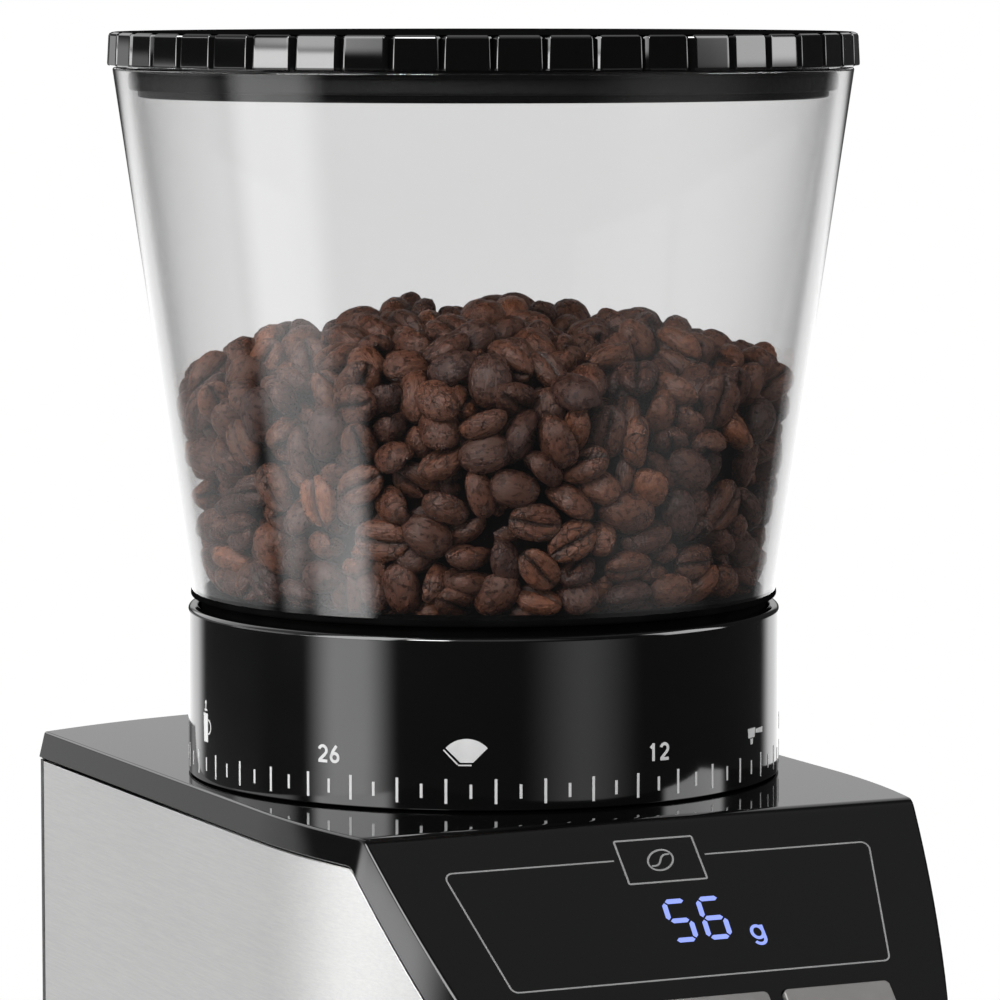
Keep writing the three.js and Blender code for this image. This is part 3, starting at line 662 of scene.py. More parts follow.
def side_panels():
    """Brushed steel sheets whose top edge follows the band, with a rounded edge."""
    section = [(PANEL_INSET, None)]
    section += [(PANEL_INSET + PANEL_EDGE * far, PANEL_REVEAL + PANEL_EDGE * near) for near, far in QUARTER]
    section += [(SHEET, PANEL_REVEAL), (SHEET, None)]
    for side, name in ((1, "right"), (-1, "left")):
        points = []
        edges = [right_edge(inset, PANEL_FRONT_Y) for inset, _ in section]
        kept = range(CORNER_STATION + 1, len(edges[0]))
        for i in kept:
            for edge, (_, depth) in zip(edges, section):
                x, y = edge[i]
                z = PANEL_BOTTOM_Z if depth is None else top_height(y, depth, PANEL_ROUND)
                points.append((side * x, y, z))
        panel = make(name + "_panel_steel", points, tube_faces(len(kept), len(section)))
        cavity = block("cavity", (-FAR, -2 * FAR, 0), (FAR, COLUMN_Y, HEAD_LIP_Z + GAP))
        boolean(panel, "DIFFERENCE", cavity, smooth=25)
        boolean(panel, "UNION", rear_strip(side), smooth=25)
        piece(panel, "steel", "chassis", "steel_panel", name + "_side_panel")


def rear_strip(side):
    """The flat of the panel between the last station and the rear corner."""
    x = side * (HALF_WIDTH - PANEL_INSET)
    inner = x - side * SHEET
    edge = right_edge(0, PANEL_FRONT_Y)
    top = TOP_Z - PANEL_REVEAL
    corners = [(x, PANEL_BOTTOM_Z, 0), (x, top, 0.12), (inner, top, 0), (inner, PANEL_BOTTOM_Z, 0)]
    first, last = edge[CORNER_STATION + 1][1] - 0.5, edge[CORNER_STATION][1] - 2
    return rear_prism("strip", fillet(corners, 4), first, last)


def rear_cover():
    corner_y = REAR_Y - REAR_RADIUS + math.sqrt(REAR_RADIUS**2 - HALF_WIDTH**2)
    top = TOP_Z - BAND - GAP
    cover = prism("rear_cover_moulded", plan(GAP, HEAD_NOSE), PANEL_BOTTOM_Z, top)
    boolean(cover, "DIFFERENCE", prism("inside", plan(2.8, HEAD_NOSE), 0, TOP_Z))
    boolean(cover, "INTERSECT", block("back", (-FAR, corner_y - 1.7, 0), (FAR, REAR_Y + 10, TOP_Z)))
    through = (80, REAR_Y + 20)
    cuts = []
    for i in range(VENTS):
        z = VENT_LOW_Z + VENT_STEP * i
        slot = fillet([(-24, z, 1.7), (24, z, 1.7), (24, z + 3.5, 1.7), (-24, z + 3.5, 1.7)], 6)
        cuts.append(rear_prism("vent", slot, *through))
    cuts.append(rear_prism("inlet", disc_outline(*INLET, 48), *through))
    boolean(cover, "DIFFERENCE", *cuts)
    piece(soften(cover, 0.35), "matt", "chassis", "matt_black", "rear_cover")


def head_housing():
    back = COLUMN_Y - GAP
    lip = PANEL_FRONT_Y - GAP
    depth = BAND + GAP
    end = SLOPE_END + 2 * GAP
    shape = [
        (back, HEAD_BOTTOM_Z),
        (back, HEAD_LIP_Z),
        (lip, HEAD_LIP_Z),
        (lip, slope_height(lip, depth)),
        slope_point(end, depth),
        slope_point(end, 0),
        (HEAD_CUT_Y, slope_height(HEAD_CUT_Y, 0)),
        (HEAD_CUT_Y, HEAD_BOTTOM_Z),
    ]
    head = prism("head_housing_gloss", plan(0, HEAD_NOSE), 150, 250)
    boolean(head, "INTERSECT", side_prism("side", shape, -FAR, FAR))
    boolean(head, "DIFFERENCE", block("outlet", (-12, -90, 100), (12, -70, 200)))
    piece(soften(head, 0.6, 4), "piano", "chassis", "gloss_black", "head_housing")


def slope_point(t, depth):
    y = CORNER_Y - t * math.cos(SLOPE) + depth * math.sin(SLOPE)
    return (y, TOP_Z - t * math.sin(SLOPE) - depth * math.cos(SLOPE))


def base():
    housing = slab("base_housing_gloss", plan(0, BASE_NOSE), 8, BASE_TOP_Z, 0.5, 2.2)
    boolean(housing, "INTERSECT", block("front", (-FAR, -2 * FAR, 0), (FAR, COLUMN_Y - GAP, 60)))
    piece(housing, "piano", "chassis", "gloss_black", "base_housing")
    plate = slab("base_plate_moulded", plan(3, BASE_NOSE), 4.3, 7.3, 0.6, 0.4)
    piece(plate, "matt", "chassis", "matt_black", "base_plate")
    outline = rounded_rect(BOX_W + 2, BOX_D + 2, 12, 0, SCALE_Y, 12)
    top = slab("scale_plate_brushed", outline, SCALE_Z - 3, SCALE_Z, 0.4, 0.7)
    piece(top, "plate", "scale", "steel_panel", "scale_plate")
    for name in ("rear_left", "rear_right", "front_left", "front_right"):
        low, high = (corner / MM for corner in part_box("foot_" + name))
        cx, cy = (low.x + high.x) / 2, (low.y + high.y) / 2 - AXIS_Y / MM
        radius = (high.x - low.x) / 2
        foot = slab("foot_pad_" + name, disc_outline(cx, cy, radius, 48), low.z, high.z, 0.6, 0.3)
        piece(foot, "rubber", "chassis", "rubber", "foot_" + name)


def container():
    outline = rounded_rect(BOX_W, BOX_D, 10, 0, SCALE_Y, 12)
    z, rim = SCALE_Z + GAP, BOX_TOP_Z
    profile = [(3, z), (1.6, z + 0.25), (0.6, z + 0.9), (0, z + 2.4)]
    profile += [(0, rim - 0.8), (0.3, rim - 0.2), (1.1, rim), (1.9, rim - 0.2), (2.2, rim - 0.8)]
    profile += [(2.2, z + 4.4), (2.8, z + 3), (4.4, z + 2.2)]
    body = stack("grounds_container_clear", outline, profile)
    piece(body, "box", "container", "clear_plastic", "grounds_container")
    lid = slab("container_lid_moulded", outline, BOX_TOP_Z + GAP, BOX_TOP_Z + 3.5, 0.4, 0.9)
    plug = prism("plug", offset(outline, 2.6), BOX_TOP_Z - 6, BOX_TOP_Z + 1)
    boolean(plug, "DIFFERENCE", prism("hollow", offset(outline, 4.6), 100, BOX_TOP_Z + 0.3))
    boolean(lid, "UNION", plug)
    boolean(lid, "DIFFERENCE", block("mouth", (-15, -92, 100), (15, -68, 200)))
    piece(soften(lid, 0.3), "matt", "container_lid", "matt_black", "container_lid")


def keys():
    for name, (x, t, width, height) in KEYS.items():
        outline = rounded_rect(width, height, 1.2, x, -t - height / 2)
        cap = slab(name + "_key_cap", outline, -BUTTON_DEEP, BUTTON_PROUD, 0.3, 0.45)
        transform(cap, SLOPE_PLACE)
        piece(cap, "key", name + "_key", "key_grey", name + "_button")


# ---- Ring, hopper and lid ------------------------------------------------------------------
def grind_ring():
    low, high = TOP_Z + GAP, TOP_Z + RING_H
    outside = [(RING_BORE_R, low, 0.2), (RING_R, low, 0.35), (RING_R, high, 1.4), (RING_BORE_R, high, 0.5)]
    web_low, web_high = RING_WEB
    web = [(RING_BORE_R, web_high, 0.8), (38, web_high, 0.5), (38, web_low, 0.5), (RING_BORE_R, web_low, 0.3)]
    ring = lathe("grind_ring_gloss", fillet(outside + web, 6), 256)
    lug = slab("lug", [(35, -9.6), (40, -9.6), (40, 9.6), (35, 9.6)], 236, 250, 0.5, 0.5)
    boolean(ring, "UNION", lug, smooth=25)
    piece(ring, "ring", "ring", "gloss_black", "grind_ring")


def bowl_outside(z):
    """Radius of the hopper's wall at a height."""
    return HOPPER_LOW_R + HOPPER_SLANT * (z - HOPPER_Z - 2.5)


def bowl_inside(z):
    return bowl_outside(z) - HOPPER_WALL


def hopper():
    foot = HOPPER_Z + 0.2
    corners = [
        (bowl_outside(foot), foot, 0.2),
        (bowl_outside(HOPPER_RIM_Z), HOPPER_RIM_Z, 0.5),
        (bowl_inside(HOPPER_RIM_Z), HOPPER_RIM_Z, 0.5),
        (bowl_inside(foot), foot, 0.2),
    ]
    bowl = lathe("hopper_bowl_clear", fillet(corners, 5), 256)
    piece(bowl, "clear", "hopper", "clear_plastic", "hopper_bowl")
    low, high = HOPPER_Z - 0.15, HOPPER_Z + 1.3
    corners = [
        (56.2, low, 0.3),
        (HOPPER_LOW_R + 0.1, low, 1),
        (bowl_outside(high) + 0.12, high, 0.15),
        (bowl_inside(high) - 0.4, high + 0.2, 0.2),
        (56.2, high + 0.6, 0.3),
    ]
    collar = lathe("hopper_collar", fillet(corners, 4), 256)
    piece(collar, "lid_top", "hopper", "gloss_black")
    throat, skirt, rim = FUNNEL_LOW_Z, 262, HOPPER_Z - GAP
    corners = [(24.5, throat, 0.4), (26.6, throat, 0.4), (26.6, 257.6, 1), (58.2, 273.8, 0.5)]
    corners += [(58.2, skirt, 0.5), (60.6, skirt, 0.4), (60.6, rim, 0.4), (57.8, rim, 0.4), (24.5, 260, 3)]
    funnel = lathe("hopper_base_moulded", fillet(corners, 5), 192)
    piece(funnel, "lid_top", "hopper", "gloss_black", "hopper_base")


def lid_outline():
    """Flat blocks round the lid with a narrow V groove between them."""
    step = 2 * math.pi / LID_BLOCKS
    half = step / 2 - LID_GROOVE / LID_R
    corners = []
    for i in range(LID_BLOCKS):
        middle = LID_TURN + i * step
        first, last = polar(LID_R, middle - half), polar(LID_R, middle + half)
        hold = (last - first).normalized() * 0.7
        corners += [(*first, 1.2), (*(first + hold), 0), (*(last - hold), 0), (*last, 1.2)]
        corners.append((*polar(LID_R - 0.8, middle + step / 2), 0))
    return fillet(corners, 4)


def polar(radius, angle):
    return Vector((radius * math.cos(angle), radius * math.sin(angle)))


def lid():
    low, top = LID_Z, TOTAL_Z
    profile = [(4.2, low + 3.6), (4.2, low + 0.3), (3.9, low), (0.4, low), (0.1, low + 0.15), (0, low + 0.5)]
    profile += [(LID_DRAFT, top - 0.8), (LID_DRAFT + 0.22, top - 0.28), (LID_DRAFT + 0.8, top)]
    disc = stack("hopper_lid_gloss", lid_outline(), profile, 25)
    hoop = fillet([(70, low - 6.4, 0.4), (73.5, low - 6.4, 0.4), (73.5, low + 5, 0), (70, low + 5, 0)], 4)
    boolean(disc, "UNION", lathe("hoop", hoop, 192), smooth=25)
    piece(disc, "piano", "lid", "gloss_black", "hopper_lid")
    inlay = slab("lid_top_matt", disc_outline(0, 0, LID_R - 1.5, 192), top - 0.6, top + 0.06, 0.1, 0.06)
    piece(inlay, "lid_top", "lid", "matt_black")
    low, high = SEAL
    seal = fillet([(73.9, low, 0.4), (75.5, low, 0.7), (75.5, high, 0.7), (73.9, high, 0.4)], 5)
    piece(lathe("lid_seal_rubber", seal, 192), "rubber", "lid", "rubber", "lid_seal")


# ---- Printing ------------------------------------------------------------------------------
class Print:
    """Thin raised printing: shapes in a flat (u, v) plane, laid on a surface by "lay"."""

    def __init__(self, lay):
        self.lay = lay
        self.points = []
        self.faces = []

    def strip(self, left, right):
        """A closed band between two equal lines of points."""
        points = []
        for first, second in zip(left, right):
            for end, height in ((first, 0), (first, 1), (second, 1), (second, 0)):
                points.append(self.lay(*end, height))
        self.add(points, tube_faces(len(left), 4))

    def stroke(self, path, width):
        """A line of constant width along a path, with square ends."""
        points = np.asarray(path, float)
        forward = np.gradient(points, axis=0)
        forward /= np.linalg.norm(forward, axis=1)[:, None]
        across = np.stack([-forward[:, 1], forward[:, 0]], 1) * width / 2
        self.strip(points + across, points - across)

    def polygon(self, outline):
        points = [self.lay(u, v, height) for height in (0, 1) for u, v in outline]
        self.add(points, tube_faces(2, len(outline)))

    def add(self, points, faces):
        start = len(self.points)
        self.points += points
        self.faces += [tuple(start + k for k in face) for face in faces]

    def finish(self, name):
        return make(name, self.points, self.faces)


def line(start, end, steps=6):
    return [tuple(p) for p in np.linspace(start, end, steps + 1)]


def curve(cx, cy, radius, start, end, steps=18, squash=1.0):
    turns = np.radians(np.linspace(start, end, steps + 1))
    return [(cx + radius * math.cos(a), cy + radius * squash * math.sin(a)) for a in turns]


def moved(path, u, v):
    return [(u + a, v + b) for a, b in path]


# Centre lines of digits 3.1 tall.
DIGITS = {
    "1": [line((0.45, 2.45), (1.2, 3.12)), line((1.15, 3.4), (1.15, -0.3))],
    "2": [
        curve(1.1, 2.2, 0.9, 165, -35) + line((1.72, 1.5), (0.28, 0.12), 8)[1:],
        line((0.05, 0), (2.2, 0)),
    ],
    "3": [curve(1.0, 2.32, 0.78, 140, -90, 14), curve(1.0, 0.78, 0.8, 90, -145, 16)],
    "6": [
        curve(1.1, 0.85, 0.85, 0, 360, 28),
        line((0.28, 1.05), (0.62, 1.95), 4) + line((0.7, 2.12), (1.55, 3.3), 4),
    ],
    "9": [
        curve(1.1, 2.25, 0.85, 0, 360, 28),
        line((1.92, 2.05), (1.58, 1.15), 4) + line((1.5, 0.98), (0.65, -0.2), 4),
    ],
}
DIGIT_STEP = 2.85
DIGIT_WIDTH = 2.2
DIGIT_STROKE = 0.62
DIGIT_V = 9.4
MARK_HALF_WIDTH = 0.28


def setting_angle(number):
    """Where a grind setting is printed, seen from above."""
    return math.radians(-80.25 - (number - 12) * 180 / 39)


def ring_print():
    def lay(u, v, height):
        radius = RING_R + 0.01 + 0.05 * height
        angle = u / RING_R
        return (radius * math.cos(angle), radius * math.sin(angle), TOP_Z + v)

    marks = Print(lay)
    for number in range(1, 40):
        u = setting_angle(number) * RING_R
        low, high = (1.8, 6.9) if number % 2 else (2.9, 5.8)
        left, right = u - MARK_HALF_WIDTH, u + MARK_HALF_WIDTH
        marks.strip([(left, low), (left, high)], [(right, low), (right, high)])
    for number in (1, 12, 26, 39):
        text = str(number)
        width = DIGIT_STEP * (len(text) - 1) + DIGIT_WIDTH
        start = setting_angle(number) * RING_R - width / 2
        for i, digit in enumerate(text):
            for path in DIGITS[digit]:
                marks.stroke(moved(path, start + DIGIT_STEP * i, DIGIT_V), DIGIT_STROKE)
    filter_icon(marks, setting_angle(20.17) * RING_R)
    press_icon(marks, setting_angle(34) * RING_R)
    espresso_icon(marks, setting_angle(5.62) * RING_R)
    piece(marks.finish("ring_printing"), "print", "ring", None)


def filter_icon(marks, u):
    """A paper filter: a fan with a second edge beside it."""
    rim = curve(u, 9.38, 5.82, 42.3, 137.7, 14)
    marks.strip(rim, line((u + 1.3, 10.3), (u - 1.3, 10.3), 14))
    marks.stroke(line((u - 4.75, 12.9), (u - 1.85, 9.9), 3), 0.28)
    marks.stroke(line((u - 1.75, 9.75), (u + 1.0, 9.75), 3), 0.28)


def press_icon(marks, u):
    """A French press: jug, handle, plunger."""
    marks.polygon([(u - 1.3, 9.1), (u + 1.0, 9.1), (u + 1.0, 15.2), (u - 1.5, 15.2)])
    marks.stroke(curve(u + 1.1, 12.4, 1.5, -85, 85, 12), 0.35)
    marks.stroke(line((u - 0.9, 15.9), (u + 0.6, 15.9), 2), 0.4)
    marks.stroke(line((u - 0.15, 15.9), (u - 0.15, 17.4), 2), 0.35)
    marks.polygon(curve(u - 0.15, 17.5, 0.45, 0, 330, 11))


def espresso_icon(marks, u):
    """A portafilter: basket, handle, spout."""
    marks.polygon([(u - 3.4, 10.6), (u - 0.4, 10.6), (u - 0.1, 12.6), (u - 3.7, 12.6)])
    marks.polygon([(u + 0.1, 11.4), (u + 4.0, 11.1), (u + 4.0, 12.3), (u + 0.1, 12.2)])
    marks.polygon([(u - 2.4, 9.2), (u - 1.4, 9.2), (u - 1.2, 10.4), (u - 2.6, 10.4)])


def panel_print():
    def lay(u, v, height):
        placed = SLOPE_PLACE @ Vector((u, v, 0.01 + 0.05 * height))
        return tuple(placed)

    marks = Print(lay)
    top, bottom = -9.86, -38.8
    corners = [(-47.96, top, 1.6), (-41.95, bottom, 1.6), (41.95, bottom, 1.6), (47.96, top, 1.6)]
    badge_width, badge_height, badge_v = 17.5, 10.5, top - 0.6
    opening = badge_width / 2 + 1.5
    marks.stroke(densify([(-opening, top), *fillet(corners, 8), (opening, top)]), 0.35)
    outline = rounded_rect(badge_width, badge_height, 0.3, 0, badge_v, 3)
    marks.stroke(densify([*outline, outline[0]], 0.8), 0.4)
    bean_icon(marks, 0, badge_v)
    piece(marks.finish("panel_printing"), "line", "chassis", None)

    digits = Print(lay)
    for i, name in enumerate(("5", "6")):
        seven_segments(digits, name, DISPLAY_X - 6.6 + 7.6 * i, -DISPLAY_T - 5.2)
    unit_u, unit_v = DISPLAY_X + 12.5, -DISPLAY_T - 4.2
    tail = line((1.25, 1.6), (1.25, -1.6), 4) + curve(0, -1.6, 1.25, 0, -150, 10)[1:]
    for path in (curve(0, 0, 1.25, 0, 360, 24, 1.15), tail):
        digits.stroke(moved(path, unit_u, unit_v), 0.7)
    piece(digits.finish("display_digits"), "glow", "chassis", "display")


def densify(path, step=1.5):
    """The path with points closer together, so that strokes turn smoothly."""
    dense = [path[0]]
    for a, b in zip(path, path[1:]):
        length = math.dist(a, b)
        if length < 1e-6:
            continue
        count = max(1, math.ceil(length / step))
        dense += line(a, b, count)[1:]
    return dense


def bean_icon(marks, u, v):
    """A generic coffee bean: an oval outline with its crease."""
    lean = Matrix.Rotation(math.radians(28), 2)
    crease = [(a, 0.55 * math.sin(a * 1.15)) for a in np.linspace(-2.7, 2.7, 17)]
    for path in (curve(0, 0, 3.1, 0, 360, 32, 0.72), crease):
        turned = [lean @ Vector(point) for point in path]
        marks.stroke(moved(turned, u, v), 0.4)


SEGMENTS = {"5": "afgcd", "6": "afgcde"}
SEGMENT_HALF = 0.55
SEGMENT_GAP = 0.3
SEGMENT_SLANT = math.tan(math.radians(3))


def seven_segments(marks, name, u, v):
    """A slanted seven-segment digit with chamfered segments."""
    width, height = 5.8, 10.4
    edge = SEGMENT_HALF + SEGMENT_GAP
    left, right, top = SEGMENT_HALF, width - SEGMENT_HALF, height - SEGMENT_HALF
    lower, upper = (edge, height / 2 - SEGMENT_GAP), (height / 2 + SEGMENT_GAP, height - edge)
    level = {"a": top, "g": height / 2, "d": SEGMENT_HALF}
    upright = {"f": (left, *upper), "e": (left, *lower), "c": (right, *lower)}
    for segment in SEGMENTS[name]:
        if segment in level:
            start, end = Vector((edge, level[segment])), Vector((width - edge, level[segment]))
        else:
            x, low, high = upright[segment]
            start, end = Vector((x, low)), Vector((x, high))
        along = (end - start).normalized() * SEGMENT_HALF
        across = Vector((-along.y, along.x))
        near, far = start + along, end - along
        shape = [start, near - across, far - across, end, far + across, near + across]
        marks.polygon([(u + a + SEGMENT_SLANT * b, v + b) for a, b in shape])


# ---- Coffee beans --------------------------------------------------------------------------
BEAN_COUNT = 1150
BEAN_KINDS = 8
PACK_ROUNDS = 170
BEAN_LENGTH = 5.5  # half of it
BEAN_WIDTH = 4.1
BEAN_BACK = 3.5
BEAN_FLAT = 2.2
SHELL = 17  # thickness of the layer of beans that can be seen


def wall_radius(z):
    return bowl_inside(z) - 0.15


def floor_height(r):
    return np.where(r < 56.4, 260 + (r - 24.5) * 17.7 / 33.3, HOPPER_Z + 1.7)


def heap_height(x, y):
    r = np.hypot(x, y)
    waves = 1.6 * np.sin(x * 0.11 + 0.6) * np.cos(y * 0.09) + 1.2 * np.sin(0.2 * x - 0.13 * y)
    return TOP_Z + 102.4 - 11 * (r / 66) ** 2.4 + waves


def bean_balls():
    """Balls that stand for one bean while the heap is packed: offsets and radii."""
    middle = [(a, b, 0) for b in (-1.1, 1.1) for a in (-0.95, 0.95)]
    offsets = np.array([(-2.75, 0, 0), (2.75, 0, 0), *middle], float)
    return offsets, np.array([2.45, 2.45, 2.7, 2.7, 2.7, 2.7])


def random_turns(count):
    quaternions = rng.normal(size=(count, 4))
    w, x, y, z = (quaternions / np.linalg.norm(quaternions, axis=1)[:, None]).T
    rows = [
        [1 - 2 * (y * y + z * z), 2 * (x * y - z * w), 2 * (x * z + y * w)],
        [2 * (x * y + z * w), 1 - 2 * (x * x + z * z), 2 * (y * z - x * w)],
        [2 * (x * z - y * w), 2 * (y * z + x * w), 1 - 2 * (x * x + y * y)],
    ]
    return np.array(rows).transpose(2, 0, 1)


def start_places(count):
    """Random places in the visible layer of the heap."""
    places = []
    while len(places) < count:
        x, y = rng.uniform(-70, 70, 2)
        z = rng.uniform(270, TOP_Z + 102)
        r = math.hypot(x, y)
        inside = r < wall_radius(z) - 3 and floor_height(r) + 3 < z < heap_height(x, y) - 2
        deep = r < wall_radius(z) - SHELL and z < heap_height(x, y) - SHELL
        if inside and not deep:
            places.append((x, y, z))
    return np.array(places)


def near_pairs(places):
    tree = KDTree(len(places))
    for i, place in enumerate(places):
        tree.insert(place, i)
    tree.balance()
    pairs = []
    for i, place in enumerate(places):
        pairs += [(i, j) for _, j, _ in tree.find_range(place, 12.2) if j > i]
    return np.array(pairs)


def push_apart(balls, radii, pairs, moves):
    """Adds to moves what separates balls of neighbouring beans."""
    count = len(radii)
    first = balls[pairs[:, 0]][:, :, None, :]
    second = balls[pairs[:, 1]][:, None, :, :]
    apart = first - second
    distance = np.sqrt((apart**2).sum(-1)) + 1e-9
    overlap = np.maximum(radii[:, None] + radii[None, :] - distance, 0)
    step = apart * (0.5 * overlap / distance)[..., None]
    for bean, pushed in ((pairs[:, 0], step.sum(2)), (pairs[:, 1], -step.sum(1))):
        for ball in range(count):
            for axis in range(3):
                moves[:, ball, axis] += np.bincount(bean, pushed[:, ball, axis], len(moves))


def keep_inside(balls, radii, moves):
    """Adds to moves what keeps the balls off the wall, the floor, the heap's top and its core."""
    x, y, z = balls[..., 0], balls[..., 1], balls[..., 2]
    r = np.hypot(x, y) + 1e-9
    out = np.maximum(r + radii - wall_radius(z), 0)
    low = np.maximum(floor_height(r) + radii - z, 0)
    high = np.maximum(z + radii - heap_height(x, y), 0)
    core_r = wall_radius(z) - SHELL - 2 - r
    core_z = heap_height(x, y) - SHELL - z
    in_core = (core_r > 0) & (core_z > 0)
    by_side = in_core & (core_r < core_z)
    radial = -out + np.where(by_side, core_r, 0) * 0.5
    moves[..., 0] += radial * x / r
    moves[..., 1] += radial * y / r
    moves[..., 2] += low - 0.5 * high + np.where(in_core & ~by_side, core_z, 0) * 0.5


def pack_beans(rounds):
    places = start_places(BEAN_COUNT)
    turns = random_turns(BEAN_COUNT)
    sizes = rng.uniform(0.88, 1.1, BEAN_COUNT)
    offsets, radii = bean_balls()
    inertia = (offsets**2).sum()
    for step in range(rounds):
        if step % 6 == 0:
            pairs = near_pairs(places)
        arms = np.einsum("nij,kj->nki", turns, offsets)
        balls = places[:, None, :] + arms
        moves = np.zeros_like(balls)
        push_apart(balls, radii, pairs, moves)
        keep_inside(balls, radii, moves)
        moves = np.clip(moves, -1.2, 1.2)
        shift = moves.mean(1) * 1.1
        if step < rounds * 0.6:
            shift[:, 2] -= 0.06
        places = places + shift
        spin = np.cross(arms, moves).sum(1) / inertia
        angle = np.linalg.norm(spin, axis=1) + 1e-12
        turns = turn_by(spin / angle[:, None], np.minimum(angle, 0.3), turns)
    return places, turns, sizes


def turn_by(axes, angles, turns):
    c, s = np.cos(angles)[:, None, None], np.sin(angles)[:, None, None]
    x, y, z = axes.T
    zero = np.zeros_like(x)
    skew = np.array([[zero, -z, y], [z, zero, -x], [-y, x, zero]]).transpose(2, 0, 1)
    along = axes[:, :, None] * axes[:, None, :]
    rotation = c * np.eye(3) + s * skew + (1 - c) * along
    return rotation @ turns


def bean_shape(kind):
    """One bean about its middle: points, faces and how deep in the crease each point lies."""
    own = np.random.default_rng(100 + kind)
    stations = -np.cos(np.linspace(0.12, math.pi - 0.12, 13))
    fan = np.array([0, 2.2, 5, 9, 16, 28, 46, 70, 100, 130, 155, 180])
    turns = np.radians(np.concatenate([fan, 360 - fan[1:-1][::-1]]) - 90)
    bend = own.uniform(-0.5, 0.5, 3)
    dent = own.uniform(0.75, 1.15)
    taper = own.uniform(-0.12, 0.12)
    made = [bean_point(s, turn, bend, dent, taper) for s in stations for turn in turns]
    count = len(turns)
    faces = rings_of_faces(len(stations), count)
    for end, first in ((-1, 0), (1, (len(stations) - 1) * count)):
        faces += [(first + i, first + (i + 1) % count, len(made)) for i in range(count)]
        made.append(((end * BEAN_LENGTH, 0, 0.3), 0))
    points, crease = zip(*made)
    return np.array(points), faces, np.array(crease)


def bean_point(s, turn, bend, dent, taper):
    """A point of the skin, s along the bean from -1 to 1, and how near it lies to the crease."""
    c, h = math.cos(turn), math.sin(turn)
    girth = math.sqrt(max(1 - abs(s) ** 2.3, 0))
    lump = 0.13 * math.sin(3.1 * s + 2.0 * c + bend[1] * 6) * math.cos(2.4 * h + bend[2] * 5)
    y = BEAN_WIDTH * c * girth * (1 + taper * s)
    z = BEAN_BACK * h * girth
    near = sunk = sway = 0
    if h < 0:
        z = -BEAN_FLAT * abs(h) ** 0.62 * girth
        near = math.exp(-((y / 0.5) ** 2))
        sunk = dent * near * (1 - s**6) + 0.45 * girth * math.exp(-((y / 1.5) ** 2))
        sway = 0.42 * math.sin(2.2 * s + bend[0]) * (1 - s * s) * math.exp(-((y / 1.6) ** 2))
    x = BEAN_LENGTH * s * (1 + 0.03 * lump)
    return (x, (y + sway) * (1 + 0.35 * lump), z * (1 + 0.3 * lump) + sunk), near


def bean_pieces():
    places, turns, sizes = pack_beans(PACK_ROUNDS)
    tones = np.clip(rng.normal(0.27, 0.17, len(places)), 0, 0.8)
    tones[rng.random(len(places)) < 0.035] = 0.95
    for kind in range(BEAN_KINDS):
        points, faces, crease = bean_shape(kind)
        members = np.arange(kind, len(places), BEAN_KINDS)
        local = points[None] * sizes[members][:, None, None]
        world = np.einsum("nij,nkj->nki", turns[members], local) + places[members][:, None]
        world += way_inside(world)[:, None]
        count = len(points)
        everything = [tuple(n * count + i for i in face) for n in range(len(members)) for face in faces]
        heap = rough_mesh(f"beans_{kind + 1}", world.reshape(-1, 3), everything)
        shade_smooth(heap)
        offsets = local + (members * 13.7)[:, None, None]
        set_attribute(heap, "bean_place", "FLOAT_VECTOR", "vector", offsets)
        set_attribute(heap, "bean_tone", "FLOAT", "value", np.repeat(tones[members], count))
        set_attribute(heap, "bean_crease", "FLOAT", "value", np.tile(crease, len(members)))
        piece(heap, "bean", "hopper", None)
    bean_core()


def way_inside(world):
    """How far each bean moves so that it clears the hopper's wall and floor."""
    z = world[..., 2]
    r = np.hypot(world[..., 0], world[..., 1])
    out = np.maximum((r - wall_radius(z)).max(1), 0)
    up = np.maximum((floor_height(r) - z).max(1), 0)
    middle = world[..., :2].mean(1)
    inward = -middle * (out / np.linalg.norm(middle, axis=1))[:, None]
    return np.column_stack([inward, up])


def set_attribute(obj, name, kind, field, values):
    attribute = obj.data.attributes.new(name, kind, "POINT")
    attribute.data.foreach_set(field, np.asarray(values, np.float32).ravel())


def bean_core():
    """A dark lump under the visible beans: painted shade that stands for the shadowed depths of the heap and
    closes the gaps between them.
    """
    sides, levels, low = 48, 14, 262.0
    points = [(0.0, 0.0, low)]
    for k in range(levels):
        share = k / (levels - 1)
        for i in range(sides):
            a = 2 * math.pi * i / sides
            z = low + 2 + share * 62
            r = min(wall_radius(z) - 6, 24 + (z - low) * 1.7)
            if share > 0.8:
                r *= 1 - (share - 0.8) * 2.4
            x, y = r * math.cos(a), r * math.sin(a)
            points.append((x, y, min(z, float(heap_height(x, y)) - 7)))
    points.append((0.0, 0.0, float(heap_height(0, 0)) - 8))
    faces = [tuple(1 + i for i in face) for face in rings_of_faces(levels, sides)]
    top = len(points) - 1
    last = top - sides
    for i in range(sides):
        j = (i + 1) % sides
        faces += [(0, 1 + j, 1 + i), (top, last + i, last + j)]
    piece(make("bean_core", points, faces, 60), "bean_gap_shade", "hopper", None)


# ---- Carried-over CAD nodes ----------------------------------------------------------------
CARRIED = {
    "hard": [
        "base_screw_rear_left", "base_screw_rear_right", "base_screw_front_left", "base_screw_front_right",
        "load_cell", "lower_bearing", "upper_bearing", "motor_shaft", "pinion", "drive_shaft", "lower_burr",
        "shaft_nut", "upper_burr",
    ],
    "matt": [
        "column_cover", "inner_frame", "gearbox_housing", "gearbox_cover", "cooling_fan", "impeller",
        "burr_housing", "grounds_chute", "burr_carrier", "hopper_switch",
    ],
    "rubber": ["cord_inlet", "motor_damper"],
    "motor": ["motor"],
    "nylon": ["drive_gear"],
    "board": ["control_board", "main_board"],
    "display": ["display_module"],
    "silicone": ["hopper_gasket"],
}


def dress_carried_nodes():
    for material, names in CARRIED.items():
        for name in names:
            node = frame["nodes"][name]
            node.data.materials.clear()
            node.data.materials.append(MATERIALS[material])
            soften(node, 0.25, 2)


